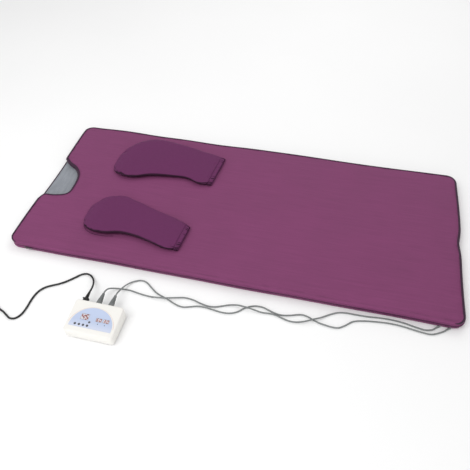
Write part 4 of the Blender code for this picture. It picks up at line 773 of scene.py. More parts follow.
def cover_lift(points):
    """How far the cover's free edges ride up from the base."""
    x, y = points[:, 0], points[:, 1]
    near = smoothstep(0.33, 0.40, -y)
    foot = smoothstep(0.84, 0.90, x)
    head = smoothstep(0.80, 0.90, -x) * smoothstep(0.10, 0.20, np.abs(y))
    waves = 0.0009 + 0.0009 * np.sin(11.0 * x + 0.5) + 0.0005 * np.sin(27.0 * x)
    lift = near * smoothstep(-0.70, -0.60, x) * waves
    lift += foot * (0.0008 + 0.0008 * np.sin(14.0 * y))
    lift += head * (0.0012 + 0.0010 * np.sin(15.0 * y + 0.8))
    return np.maximum(lift, 0.0)


def mat_outline():
    return resample(rounded_rectangle(HALF_LENGTH, HALF_WIDTH, CORNER), 0.008, closed=True)


def cover_outline():
    neck = [tuple(p) for p in spline_points([(-HALF_LENGTH + d, y) for d, y in NECK], 5)]
    whole = rounded_rectangle(HALF_LENGTH, HALF_WIDTH, CORNER)
    quarter = len(whole) // 4
    return resample(whole[:2 * quarter] + neck + whole[2 * quarter:], 0.008, closed=True)


def distance_to(points, loops):
    best = np.full(len(points), 9.0)
    for loop in loops:
        start = np.array(loop)
        along = np.roll(start, -1, axis=0) - start
        squared = (along**2).sum(axis=1)
        for first in range(0, len(points), 2000):
            block = points[first:first + 2000, None, :] - start[None]
            share = np.clip((block * along).sum(axis=2) / squared, 0.0, 1.0)
            gap = np.linalg.norm(block - share[..., None] * along, axis=2).min(axis=1)
            best[first:first + 2000] = np.minimum(best[first:first + 2000], gap)
    return best


def inside(points, loop):
    loop = np.array(loop)
    x, y = points[:, :1], points[:, 1:2]
    x1, y1 = loop[:, 0], loop[:, 1]
    x2, y2 = np.roll(x1, -1), np.roll(y1, -1)
    level = np.where(y2 == y1, 1e-12, y2 - y1)
    crossed = ((y1 > y) != (y2 > y)) & (x < (x2 - x1) * (y - y1) / level + x1)
    return crossed.sum(axis=1) % 2 == 1


def filled(loops, spacing, insets):
    """Triangles over an outline, the first loop, and round the holes, the rest.

    Returns the points, the triangles, how far each point is from an edge, and the loops as point numbers."""
    outer = np.array(loops[0])
    fixed = [np.array(loop) for loop in loops]
    points, edges, start = [], [], 0
    for loop in fixed:
        points.append(loop)
        edges += [(start + k, start + (k + 1) % len(loop)) for k in range(len(loop))]
        start += len(loop)
    extra = []
    for number, loop in enumerate(fixed):
        for inset in insets:
            ring = offset_loop(loop, inset if number == 0 else -inset)
            extra.append(ring[distance_to(ring, fixed) > 0.85 * inset])
    low, high = outer.min(axis=0), outer.max(axis=0)
    xs = np.arange(low[0], high[0], spacing)
    ys = np.arange(low[1], high[1], spacing * 0.87)
    grid = np.array([(x + (k % 2) * spacing / 2, y) for k, y in enumerate(ys) for x in xs])
    keep = inside(grid, outer)
    for hole in fixed[1:]:
        keep &= ~inside(grid, hole)
    grid = grid[keep]
    extra.append(grid[distance_to(grid, fixed) > insets[-1] + 0.55 * spacing])
    everything = np.vstack(points + extra)
    found = geometry.delaunay_2d_cdt([Vector(p) for p in everything], edges, [], 0, 1e-6, True)
    verts = np.array([tuple(v) for v in found[0]])
    origin = {source: number for number, sources in enumerate(found[3]) for source in sources}
    triangles = np.array([tuple(face) for face in found[2] if len(face) == 3])
    middles = verts[triangles].mean(axis=1)
    keep = inside(middles, outer)
    for hole in fixed[1:]:
        keep &= ~inside(middles, hole)
    rings, start = [], 0
    for loop in fixed:
        rings.append([origin[start + k] for k in range(len(loop))])
        start += len(loop)
    return verts, triangles[keep], distance_to(verts, fixed), rings


def plate(name, flat, triangles, rings, high, low, material):
    """A closed plate over flat triangles, between two heights or two lists of heights."""
    count = len(flat)
    verts = np.vstack([np.column_stack([flat, np.zeros(count) + level]) for level in (high, low)])
    faces = [tuple(t) for t in triangles] + [tuple(t[::-1] + count) for t in triangles]
    for ring in rings:
        for k, here in enumerate(ring):
            after = ring[(k + 1) % len(ring)]
            faces.append((here, here + count, after + count, after))
    return mesh_object(name, verts, faces, material)


def pad(name, loops, spacing, insets, top, bottom, material):
    """A closed pad: top and bottom give heights from the points and their distance from the edge."""
    flat, triangles, depth, rings = filled(loops, spacing, insets)
    piece = plate(name, flat, triangles, rings, top(flat, depth), bottom(flat, depth), material)
    return piece, np.concatenate([depth, depth])


def round_off(depth, radius):
    """How much lower a rounded edge is, this far in from it."""
    inner = np.clip(radius - depth, 0.0, radius)
    return radius - np.sqrt(np.maximum(radius**2 - inner**2, 0.0))


def slow_noise(points, scale, seed=0.0):
    return np.array([noise.noise(Vector((x * scale[0] + seed, y * scale[1] - seed, seed * 0.37)))
                     for x, y in points[:, :2]])


def inflate(piece, pinned, pressure, cap, grow):
    """Cloth simulation under a little pressure, with some points held and none moved further than the cap."""
    start = np.array([v.co for v in piece.data.vertices])
    group = piece.vertex_groups.new(name="held")
    group.add([int(k) for k in np.flatnonzero(pinned)], 1.0, "REPLACE")
    cloth = piece.modifiers.new("cloth", "CLOTH")
    settings = cloth.settings
    settings.quality = 4
    settings.mass = 0.25
    settings.tension_stiffness = 18.0
    settings.compression_stiffness = 12.0
    settings.shear_stiffness = 8.0
    settings.bending_stiffness = 0.35
    settings.use_pressure = True
    settings.uniform_pressure_force = pressure
    settings.shrink_min = -grow
    settings.vertex_group_mass = "held"
    settings.effector_weights.gravity = 0.0
    cloth.collision_settings.use_collision = False
    cloth.point_cache.frame_start = 1
    cloth.point_cache.frame_end = CLOTH_FRAMES
    scene = bpy.context.scene
    for step in range(1, CLOTH_FRAMES + 1):
        scene.frame_set(step)
    graph = bpy.context.evaluated_depsgraph_get()
    evaluated = piece.evaluated_get(graph)
    after = np.array([v.co for v in evaluated.data.vertices])
    piece.modifiers.clear()
    scene.frame_set(1)
    piece.vertex_groups.clear()
    moved = after - start
    size = np.linalg.norm(moved, axis=1, keepdims=True)
    moved *= np.minimum(1.0, cap / np.maximum(size, 1e-9))
    piece.data.vertices.foreach_set("co", (start + moved).astype(np.float32).ravel())
    piece.data.update()


def quilting(points):
    """Soft channels across the lining, as sewn, with creases between them."""
    channel = np.abs(np.sin(math.pi * points[:, 0] / CHANNEL)) ** 0.45
    creases = slow_noise(points, (26.0, 9.0), 3.1)
    return 0.0010 * channel + 0.0006 * creases


def build_base():
    outline = drifted(mat_outline())[:, :2]

    def top(points, depth):
        return BASE_TOP - 0.0009 - 0.0014 * smoothstep(0.0045, 0.0064, depth) - round_off(depth, 0.0022)

    def bottom(points, depth):
        return round_off(depth, 0.0045)

    body, _ = pad("base_padding", [outline], 0.020, (0.0010, 0.0025, 0.0044, 0.0065), top, bottom, plum)
    settle(body, "base_mat", "plum_fabric", "base_outer_shell", "base_insulation")
    inner = offset_loop(outline, 0.0040)

    def lining_top(points, depth):
        flat = np.clip(depth / 0.02, 0.0, 1.0)
        return BASE_TOP - 0.0012 + quilting(points) * flat + 0.0002

    def lining_bottom(points, depth):
        return np.full(len(points), BASE_TOP - 0.0026)

    face, _ = pad("base_lining_quilt", [inner], 0.011, LINING_INSETS, lining_top, lining_bottom, lining)
    settle(face, "base_mat", "grey_lining", "base_lining")


def build_cover():
    outline = drifted(cover_outline())[:, :2]
    holes = [np.array(ellipse(centre, ARM_RADII, 44)) for centre in ARM_HOLES.values()]

    def top(points, depth):
        crown = 0.0016 * smoothstep(0.0, 0.12, depth)
        pucker_x = slow_noise(points, (34.0, 5.0), 1.7) * smoothstep(0.28, 0.39, np.abs(points[:, 1]))
        pucker_y = slow_noise(points, (5.0, 34.0), 5.3) * smoothstep(0.78, 0.89, np.abs(points[:, 0]))
        wander = slow_noise(points, (2.6, 5.2), 9.0) * 0.0016 + slow_noise(points, (7.0, 30.0), 2.0) * 0.0005
        seam = -0.0011 * np.exp(-((depth - 0.0125) / 0.0022) ** 2)
        edge_fade = np.clip((depth - 0.005) / 0.006, 0.0, 1.0)
        soft = (crown + wander) * smoothstep(0.0, 0.05, depth) + seam
        soft += 0.0013 * (pucker_x + pucker_y) * edge_fade
        return COVER_TOP - 0.0006 + soft - round_off(depth, COVER_ROUNDING) + cover_lift(points)

    def bottom(points, depth):
        sunk = 0.0014 * smoothstep(0.0045, 0.0064, depth)
        return COVER_BOTTOM + 0.0010 + sunk + round_off(depth, 0.0015) + cover_lift(points)

    insets = (0.0012, 0.0032, 0.0065, 0.0105, 0.0125, 0.0150)
    body, depth = pad("cover_padding", [outline] + holes, 0.013, insets, top, bottom, plum)
    held = (depth < 0.016) | (np.arange(len(depth)) >= len(depth) // 2)  # the edges and the underside
    inflate(body, held, 2.0, 0.0016, 0.004)
    settle(body, "cover", "plum_fabric", "cover_outer_shell", "cover_insulation")
    inner = offset_loop(outline, 0.0040)
    wider = [np.array(ellipse(centre, (ARM_RADII[0] + 0.0008, ARM_RADII[1] + 0.0008), 44))
             for centre in ARM_HOLES.values()]

    def lining_top(points, depth):
        return COVER_BOTTOM + 0.0027 + cover_lift(points)

    def lining_bottom(points, depth):
        flat = np.clip(depth / 0.02, 0.0, 1.0)
        return COVER_BOTTOM + 0.0012 - quilting(points) * flat * 0.9 + cover_lift(points)

    loops = [inner] + wider
    face, _ = pad("cover_lining_quilt", loops, 0.011, LINING_INSETS, lining_top, lining_bottom, lining)
    settle(face, "cover", "grey_lining", "cover_lining")
    return outline


def stitches(name, path, pitch, length, radius, material):
    """A row of short sewn stitches along a path, as one mesh of little sunk capsules."""
    path = np.array(path, float)
    steps = np.linalg.norm(np.diff(path, axis=0), axis=1)
    along = np.concatenate([[0.0], np.cumsum(steps)])
    count = int(along[-1] / pitch)
    verts, faces = [], []
    for k in range(count):
        ends = []
        for where in (k * pitch, k * pitch + length):
            ends.append(np.array([np.interp(where, along, path[:, axis]) for axis in range(3)]))
        direction = ends[1] - ends[0]
        size = np.linalg.norm(direction)
        if size < 1e-6:
            continue
        direction /= size
        side = np.cross(direction, (0.0, 0.0, 1.0))
        side /= max(np.linalg.norm(side), 1e-9)
        up = np.cross(side, direction)
        first = len(verts)
        for share, scale in ((0.0, 0.25), (0.2, 1.0), (0.8, 1.0), (1.0, 0.25)):
            centre = ends[0] + direction * size * share - up * radius * (0.4 if 0 < share < 1 else 1.0)
            for turn in range(6):
                angle = turn * math.pi / 3
                verts.append(centre + radius * scale * (side * math.cos(angle) + up * math.sin(angle)))
        faces += grid(4, 6, first)
        faces.append(tuple(first + turn for turn in range(6)))
        faces.append(tuple(first + 18 + turn for turn in range(6)))
    return mesh_object(name, verts, faces, material)


def lifted(points, height, up=1):
    """Points at this height, which follow the cover's lift when they are on the cover."""
    points = np.asarray(points, float)[:, :2]
    return np.column_stack([points, np.full(len(points), height) + (cover_lift(points) if up > 0 else 0.0)])


def band(name, path, section, material, taper=0):
    """A strip swept along a path that lies level: section is a closed list of (outward, up) points.

    It tapers over this many points at each end."""
    path = np.array(path, float)
    along = (np.vstack([path[1:], path[-1:]]) - np.vstack([path[:1], path[:-1]]))[:, :2]
    along /= np.linalg.norm(along, axis=1, keepdims=True)
    outward = np.stack([along[:, 1], -along[:, 0]], axis=1)
    verts = []
    width, rows = len(section), len(path)
    for row, (place, out) in enumerate(zip(path, outward)):
        size = min(1.0, 0.12 + min(row, rows - 1 - row) / taper) if taper else 1.0
        verts += [(*(place[:2] + out * across * size), place[2] + up * size) for across, up in section]
    faces = grid(rows, width) + [tuple(range(width)), tuple((rows - 1) * width + k for k in range(width))]
    return crease(mesh_object(name, verts, faces, material), 50.0)


def wrapped(radius, thickness, drop):
    """A tape's section round an edge of this radius: from below on its side to a little way in on its top."""
    turns = np.linspace(0.0, math.radians(84), 9)
    outer, inner = ([(reach * math.cos(t) - radius, reach * math.sin(t) - radius) for t in turns]
                    for reach in (radius + thickness, radius - 0.0006))
    return ([(-0.0006, -radius - drop + 0.004), (thickness, -radius - drop + 0.004)] + outer
            + [(-radius - 0.0030, thickness), (-radius - 0.0030, -0.0008)] + inner[::-1])


def zip_path(outward):
    """The zip's line at this distance out from the wall: along the near side and the foot, in ZIP_ROWS steps."""
    start = -HALF_LENGTH + CORNER + ZIP_MARGIN
    centre = (HALF_LENGTH - CORNER, -HALF_WIDTH + CORNER)
    path = [(start, -HALF_WIDTH - outward)]
    path += arc(centre, CORNER + outward, -math.pi / 2, 0.0, 14)
    path.append((HALF_LENGTH + outward, HALF_WIDTH - CORNER - ZIP_MARGIN))
    return drifted(resample(path, path_length(path) / ZIP_ROWS))


def teeth(name, path, height, shift, up):
    """A row of moulded zip teeth, each with a small rounded head towards the other row."""
    dense = resample(path, 0.0030)
    along = np.gradient(dense, axis=0)
    along /= np.linalg.norm(along, axis=1, keepdims=True)
    verts, faces = [], []
    shape = [(-0.0007, -0.0009), (0.0007, -0.0009), (0.0007, 0.0009), (-0.0007, 0.0009)]
    for number, (place, way) in enumerate(zip(dense, along)):
        if shift and number == len(dense) - 1:
            continue
        out = np.array([way[1], -way[0]])
        centre = place + way * shift
        middle = lifted([centre], height, up)[0, 2]
        first = len(verts)
        for level, scale in ((0.0009, 0.85), (0.0002, 1.0), (-0.0006, 1.0), (-0.0010, 0.6)):
            for x, y in shape:
                spot = centre + way * x * scale + out * y * scale
                verts.append((spot[0], spot[1], middle + level * up))
        faces += grid(4, 4, first)
        faces.append(tuple(first + k for k in range(4)))
        faces.append(tuple(first + 12 + k for k in range(4)))
    return mesh_object(name, verts, faces, coil_plastic, False)


def cord_core(name, path, height, up):
    """The cord that a row of teeth is moulded on."""
    half = 0.0005
    section = [(-half, -half), (half, -half), (half, half), (-half, half)]
    return band(name, lifted(path, height + 0.0004 * up, up), section, trim)


def build_zip():
    """The tapes, teeth, stitching and end stops of the zip, one row on each half."""
    for name, node, coil, body, up in (("base", "zip_tape_base", "zip_coil_base", "base_mat", -1),
                                       ("cover", "zip_tape_cover", "zip_coil_cover", "cover", 1)):
        low, high = (corner.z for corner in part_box(node))
        route = lifted(zip_path(0.0), (low + high) / 2, up)
        half = (high - low) / 2
        section = [(0.0003, -half), (0.0009, -half), (0.0009, -half + 0.0012), (0.0012, -half + 0.0016),
                   (0.0012, half - 0.0016), (0.0009, half - 0.0012), (0.0009, half), (0.0003, half)]
        tape = band("zip_tape_" + name + "_weave", route, section, tape_cloth)
        settle(tape, body, "edge_trim", node)
        seam = route.copy()
        seam[:, 2] += up * half * 0.45
        seam[:, :2] = zip_path(0.00125)
        sewn = stitches("zip_stitching_" + name, seam, 0.0042, 0.0030, 0.00022, thread)
        settle(sewn, body, "edge_trim")
        level = sum(corner.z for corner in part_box(coil)) / 2
        line = zip_path(0.0022)
        row = teeth("zip_teeth_" + name, line, level, 0.0015 if up > 0 else 0.0, up)
        settle(row, body, "zip_coil", coil)
        core = cord_core("zip_cord_" + name, line, level, up)
        settle(core, body, "edge_trim")
        for end, place in ((0, line[0]), (1, line[-1])):
            heading = line[1] - line[0] if end == 0 else line[-1] - line[-2]
            angle = math.atan2(heading[1], heading[0])
            size = (0.0040, 0.0022, 0.0026)
            stop = rounded_box(f"zip_stop_{name}_{end}", size, (0, 0, 0), 0.0004, dark_metal, 2)
            centre = lifted([place], level, up)[0]
            stop.matrix_world = Matrix.Translation(centre) @ Matrix.Rotation(angle, 4, "Z")
            settle(stop, body, "zip_metal")


def build_bound_edge(outline):
    """The tape round the cover's foot, far and head sides, and the seam all round it."""
    near_side = (outline[:, 1] < -0.385) & (np.abs(outline[:, 0]) < 0.850)
    start = int(np.flatnonzero(near_side)[-1]) + 1
    bound = np.roll(outline, -start, axis=0)
    bound = bound[~np.roll(near_side, -start)]
    wrap = wrapped(COVER_ROUNDING, 0.0010, 0.0104)
    edge = band("cover_bound_edge", lifted(bound, COVER_TOP - 0.0006), wrap, trim, taper=9)
    settle(edge, "cover", "edge_trim")
    sewn_line = offset_loop(outline, 0.0125)
    sewn_line = np.vstack([sewn_line, sewn_line[:1]])
    heights = lifted(sewn_line, COVER_TOP - 0.0014)
    sewn = stitches("cover_edge_stitching", heights, 0.0046, 0.0034, 0.00028, thread)
    settle(sewn, "cover", "edge_trim")


def build_head_bindings(outline):
    """The narrow tapes along the head side: the cover's, round the neck opening too, and the base's."""
    rim = np.vstack([outline, outline[:1]])
    tape = [(0.0008 + 0.0020 * math.cos(a), 0.0056 * math.sin(a)) for a in np.linspace(-1.35, 1.35, 9)]
    tape += [(0.0002, 0.0052), (0.0002, -0.0052)]
    head = np.array([p for p in rim if p[0] < -HALF_LENGTH / 2 and abs(p[1]) <= 0.372])
    piece = band("neck_binding_tape", lifted(head, COVER_BOTTOM + 0.0062), tape, trim)
    settle(piece, "cover", "edge_trim", "cover_neck_binding")
    base_outline = drifted(mat_outline())[:, :2]
    head = np.array([p for p in base_outline if p[0] < -HALF_LENGTH + 0.02 and abs(p[1]) <= 0.352])
    head = head[np.argsort(-head[:, 1])]
    level = np.column_stack([head, np.full(len(head), BASE_TOP - 0.0004)])
    piece = band("base_binding_tape", level, wrapped(0.0022, 0.0010, 0.0130), trim)
    settle(piece, "base_mat", "edge_trim", "base_head_binding")


def build_lining_rows():
    """Stitched rows across the base lining, seen in the neck opening and when the cover is open."""
    rows = []
    for k in range(-12, 13):
        line = [(k * CHANNEL, -0.375 + 0.05 * step, BASE_TOP - 0.00085) for step in range(16)]
        rows.append(stitches("row", line, 0.0060, 0.0042, 0.0003, grey_thread))
    settle(join("lining_stitching_base", rows), "base_mat", "grey_lining")


def build_fold():
    """The fabric gusset along the far edge, at the fold where the cover opens."""
    xs = np.linspace(-FOLD_END, FOLD_END, 260)
    turns = np.linspace(-1.9, 1.9, 15)
    section = [(0.0015 + 0.0034 * math.cos(turn), 0.0040 * math.sin(turn)) for turn in turns]
    verts = []
    for x in xs:
        shift = edge_drift(np.array([[x, HALF_WIDTH, 0.0]]))[0, 1]
        ripple = 0.0004 * math.sin(x * 61.0) + 0.0003 * math.sin(x * 143.0)
        fullness = 0.25 + 0.75 * smoothstep(0.0, 0.035, FOLD_END - abs(x))  # the roll runs out at its two ends
        for out, rise in section:
            out *= fullness
            verts.append((x, HALF_WIDTH + out + shift * 0.7 + ripple * out / 0.003,
                          SEAM + rise * (0.4 + 0.6 * fullness)))
    strip = mesh_object("fold_seam_fabric", verts, grid(len(xs), len(section), ring=False), trim)
    apply_modifiers(thicken(strip, 0.0007))
    strip.data.shade_smooth()
    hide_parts("fold_seam_roll")
    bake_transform(strip)


build_base()
cover_edge = build_cover()
build_zip()
build_bound_edge(cover_edge)
build_head_bindings(cover_edge)
build_lining_rows()
build_fold()


# ---- Sleeves ----
def sleeve_at(stations, x):
    dense = spline_points([Vector((s[0], s[1], s[2])) for s in stations], 10)
    heights = spline_points([Vector((s[0], s[3], 0.0)) for s in stations], 10)
    xs = [p.x for p in dense]
    return (float(np.interp(x, xs, [p.y for p in dense])), float(np.interp(x, xs, [p.z for p in dense])),
            float(np.interp(x, xs, [p.y for p in heights])))


def sleeve_ring(stations, x, sides, shrink=0.0, gather=0.0):
    """One cross-section: a flat top and underside, a steep side towards the zip and a thin far side."""
    near, far, height = sleeve_at(stations, x)
    lean = 0.10 * max(0.0, x - SLEEVE_JOINT) / (stations[-1][0] - SLEEVE_JOINT)
    middle, half = (near + far) / 2, (far - near) / 2 - shrink
    ring = []
    for k in range(sides):
        turn = 2 * math.pi * k / sides
        wave = gather * (math.cos(17 * turn + x * 40) + 0.6 * math.cos(29 * turn + 1.0))
        across = math.copysign(abs(math.cos(turn)) ** 0.62, math.cos(turn)) * (half + wave * 0.5)
        rise = math.copysign(abs(math.sin(turn)) ** (0.44 if turn < math.pi else 0.66), math.sin(turn))
        rise *= height / 2 - shrink
        slope = 1.0 - 0.16 * max(0.0, across / half) ** 2
        across -= across / half * 0.0095 * smoothstep(0.15, -0.9, rise / (height / 2)) * (across < 0)
        z = COVER_TOP + 0.0003 + height / 2 + rise * slope
        if rise > 0:
            z += wave
        ring.append((x + lean * across, middle + across, z))
    return ring


def cut_arm_hole(sleeve, hole):
    """Take the faces of the sleeve's underside away over the cover's arm hole."""
    made = bmesh.new()
    made.from_mesh(sleeve.data)
    gone = []
    for face in made.faces:
        x, y, z = face.calc_center_median()
        reach = ((x - hole[0]) / ARM_RADII[0]) ** 2 + ((y - hole[1]) / ARM_RADII[1]) ** 2
        if z < COVER_TOP + 0.004 and reach < 1.0:
            gone.append(face)
    bmesh.ops.delete(made, geom=gone, context="FACES")
    made.to_mesh(sleeve.data)
    made.free()


def build_sleeve(side):
    stations = SLEEVES[side]
    start, end = stations[0][0] + 0.001, stations[-1][0] - CUFF
    sides = 84
    count = 96
    verts = []
    for k in range(count + 1):  # the rings lie closer together at the rounded shoulder
        x = start + (end - start) * (1 - math.cos(math.pi / 2 * k / count))
        nearness = max(0.0, 1 - (end - x) / GATHER_REACH)
        verts += sleeve_ring(stations, min(x, end), sides, 0.0008, 0.00085 * nearness**1.5)
    faces = grid(count + 1, sides)
    # The shoulder is closed by a flat cap that lies inside the first ring
    centre = np.mean(verts[:sides], axis=0)
    verts.append(tuple(centre))
    faces += [(k, (k + 1) % sides, len(verts) - 1) for k in range(sides)]
    sleeve = mesh_object("sleeve_fabric_" + side, verts, faces, sleeve_plum)
    points = np.array([v.co for v in sleeve.data.vertices])
    # Slow dents and the pressed crease along the side towards the zip
    fade = smoothstep(COVER_TOP + 0.010, COVER_TOP + 0.020, points[:, 2])
    dents = slow_noise(points, (9.0, 13.0), 4.0 if side == "far" else 7.0)
    ridges = slow_noise(points, (5.0, 46.0), 2.5) * smoothstep(0.0, 0.10, points[:, 0] - (end - 0.12))
    middles = np.array([sum(sleeve_at(stations, x)[:2]) / 2 for x in points[:, 0]])
    corner = smoothstep(-0.535, -0.600, points[:, 0]) * smoothstep(0.010, -0.050, points[:, 1] - middles)
    folds = np.array([noise.noise(Vector((x * 30, y * 30 + x * 90, 1.0))) for x, y in points[:, :2]])
    points[:, 2] += fade * (0.0014 * dents + 0.0008 * ridges - 0.0008 + 0.0030 * corner * folds)
    sleeve.data.vertices.foreach_set("co", points.astype(np.float32).ravel())
    held = (points[:, 2] < COVER_TOP + 0.004) | (points[:, 0] > end - 0.006) | (points[:, 0] < start + 0.004)
    inflate(sleeve, held, 3.0, 0.0022, 0.02)
    cut_arm_hole(sleeve, ARM_HOLES[side])
    apply_modifiers(thicken(sleeve, 0.0012))
    sleeve.data.shade_smooth()
    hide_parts("sleeve_shoulder_" + side, "sleeve_arm_" + side)
    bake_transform(sleeve)
    build_cuff(side, stations, end)
    build_welt(side, stations)


def build_cuff(side, stations, end):
    """The gathered elastic at the sleeve's mouth: a folded band with close pleats."""
    sides = 252
    verts, faces = [], []
    rows = [(0.0, 0.0010, 0.0002), (0.003, 0.0004, 0.0009), (0.008, 0.0000, 0.0011), (0.013, 0.0002, 0.0012),
            (0.0165, 0.0008, 0.0010), (0.0175, 0.0020, 0.0006), (0.0165, 0.0034, 0.0003), (0.008, 0.0036, 0.0003),
            (0.001, 0.0036, 0.0002)]
    for along, shrink, pleat in rows:
        near, far, height = sleeve_at(stations, end + along)
        lean = 0.10 * (end + along - SLEEVE_JOINT) / (stations[-1][0] - SLEEVE_JOINT)
        middle, half = (near + far) / 2, (far - near) / 2
        for k in range(sides):
            turn = 2 * math.pi * k / sides
            fold = pleat * (math.cos(31 * turn) * 0.6 + math.cos(43 * turn + 0.7) * 0.5)
            across = math.copysign(abs(math.cos(turn)) ** 0.66, math.cos(turn)) * (half - shrink + fold * 0.4)
            rise = math.copysign(abs(math.sin(turn)) ** 0.70, math.sin(turn)) * (height / 2 - shrink - 0.0006)
            z = COVER_TOP + 0.0010 + height / 2 + rise + (fold if rise > 0 else 0.0)
            verts.append((end + along + lean * across + 0.3 * fold, middle + across, z))
    for row in range(len(rows)):
        for k in range(sides):
            after = (row + 1) % len(rows)
            faces.append((row * sides + k, row * sides + (k + 1) % sides, after * sides + (k + 1) % sides,
                          after * sides + k))
    cuff = mesh_object("sleeve_elastic_" + side, verts, faces, sleeve_plum)
    settle(cuff, "arm_" + side, "edge_trim", "sleeve_cuff_" + side)


def build_welt(side, stations):
    """The welt round the shoulder, where the sleeve joins the cover."""
    tip = stations[0][0]
    xs = np.linspace(tip - WELT_OUT - 0.0003, WELT_END, 60)
    near = [(x, sleeve_at(stations, max(x, tip))[0] - WELT_OUT) for x in xs]
    far = [(x, sleeve_at(stations, max(x, tip))[1] + WELT_OUT) for x in xs[::-1]]
    welt = resample(np.array(far + near), 0.004)
    welt = np.column_stack([welt, np.full(len(welt), COVER_TOP + 0.0012)])
    piece = tube("sleeve_welt_" + side, welt, 0.0013, sleeve_plum, 8)
    settle(piece, "cover", "dark_plum_fabric")


for sleeve_side in SLEEVES:
    build_sleeve(sleeve_side)


# ---- Controller ----
PANEL_PLACE = (CASE[0], CASE[1] - CASE_HALF[1] + PANEL_FRONT, CASE_FRONT + PANEL_FRONT * math.tan(SLOPE))
PANEL = Matrix.Translation(PANEL_PLACE) @ Matrix.Rotation(SLOPE, 4, "X")
DISPLAYS = {"display_main": (-0.032, 0.041, 0.030, 0.023), "display_left": (0.0225, 0.038, 0.023, 0.014),
            "display_right": (0.0500, 0.038, 0.023, 0.014)}
BUTTONS = [("button_" + str(k + 1), (-0.0575 + k * 0.0155, 0.0095), 0.0036) for k in range(4)]
BUTTONS.append(("power_button", (-0.0085, 0.0235), 0.0032))
LEDS = [(0.023, 0.0225), (0.0495, 0.0225)]
SEGMENTS = {"0": "abcdef", "3": "abcdg", "4": "bcfg", "5": "acdfg", "6": "acdefg", "8": "abcdefg"}


def case_top(y):
    return CASE_FRONT + (y - (CASE[1] - CASE_HALF[1])) * math.tan(SLOPE)


def case_loop(inset):
    """The case's outline drawn in by this much, always as the same number of points."""
    corner = CASE_CORNER - min(inset, 0.006)
    loop = rounded_rectangle(CASE_HALF[0] - inset, CASE_HALF[1] - inset, corner, 8)
    loop = resample(loop, 0.004, closed=True) + np.array(CASE)
    return resample(loop, path_length(np.vstack([loop, loop[:1]])) / CASE_STEPS, closed=True)[:CASE_STEPS]


def half_moon(grow=0.0):
    """The printed film's outline, or a larger one round it."""
    turns = [math.pi * k / 64 for k in range(65)]
    return [((OVERLAY[0] + grow) * math.cos(turn), (OVERLAY[1] + grow) * math.sin(turn) ** 0.9 - grow * 0.6)
            for turn in turns]


def build_case_top():
    """The upper moulding: its rounded rim, its sloped top with the panel's hole, and the ports in its rear."""
    rounding = [(0.0, 0.0062), (0.0006, 0.0034), (0.0017, 0.0015), (0.0032, 0.0004), (0.0052, 0.0)]
    outer = [(0.0, lambda y: CASE_PARTING), (0.0, lambda y: CASE_PARTING + 0.001)]
    outer += [(inset, lambda y, drop=drop: case_top(y) - drop) for inset, drop in rounding]
    loops = []
    for inset, heights in outer:
        loop = case_loop(inset)
        loops.append(np.column_stack([loop, [heights(p[1]) for p in loop]]))
    verts = np.vstack(loops)
    faces = grid(len(loops), CASE_STEPS)
    rim = loops[-1][:, :2]
    hole = [tuple((PANEL @ Vector((x * 0.975, y * 0.97 + 0.001, 0.0)))[:2]) for x, y in half_moon()]
    hole = resample(hole, 0.004, closed=True)
    flat, triangles, _, _ = filled([rim, hole], 0.010, (0.0008,))
    base = len(verts)
    verts = np.vstack([verts, np.column_stack([flat, [case_top(p[1]) for p in flat]])])
    faces += [tuple(int(k) + base for k in t) for t in triangles]
    upper = mesh_object("case_top_moulding", verts, faces, white_case)
    made = bmesh.new()
    made.from_mesh(upper.data)
    bmesh.ops.remove_doubles(made, verts=made.verts[:], dist=2e-5)
    bmesh.ops.recalc_face_normals(made, faces=made.faces[:])
    if sum(face.normal.z * face.calc_area() for face in made.faces) < 0:
        bmesh.ops.reverse_faces(made, faces=made.faces[:])
    made.to_mesh(upper.data)
    made.free()
    thicken(upper, CASE_WALL)
    ports = [("port_mains", rounded_box("port_mains", (0.0245, 0.020, 0.0160), (MAINS_X, REAR, SOCKET_Z), 0.0,
                                        white_case))]
    for side, x in HEATER_X.items():
        profile = [(0.0, 0.01), (0.0094, 0.01), (0.0094, -0.01), (0.0, -0.01)]
        cut = turned("port_" + side, profile, white_case, 32)
        cut.matrix_world = Matrix.Translation((x, REAR, SOCKET_Z)) @ Matrix.Rotation(math.pi / 2, 4, "X")
        ports.append(("port_" + side, cut))
    for name, cutter in ports:
        step = upper.modifiers.new(name, "BOOLEAN")
        step.object = cutter
        step.operation = "DIFFERENCE"
        step.solver = "EXACT"
    apply_modifiers(upper)
    for _, cutter in ports:
        bpy.data.objects.remove(cutter, do_unlink=True)
    crease(upper, 32.0)
    settle(upper, "base_mat", "case_white", "case_upper_shell")


def build_case_base():
    rows = [(0.0, 0.0199), (0.0, 0.0188), (0.0, 0.0055), (0.0005, 0.0042), (0.0016, 0.0034), (0.0030, 0.0033)]
    loops = [np.column_stack([case_loop(inset), np.full(CASE_STEPS, height)]) for inset, height in rows]
    verts = np.vstack(loops)
    faces = grid(len(rows), CASE_STEPS)
    faces.append(tuple((len(rows) - 1) * CASE_STEPS + k for k in range(CASE_STEPS)))
    lower = mesh_object("case_base_moulding", verts, faces, white_case)
    crease(apply_modifiers(thicken(lower, CASE_WALL)), 32.0)
    settle(lower, "base_mat", "case_white", "case_lower_shell")


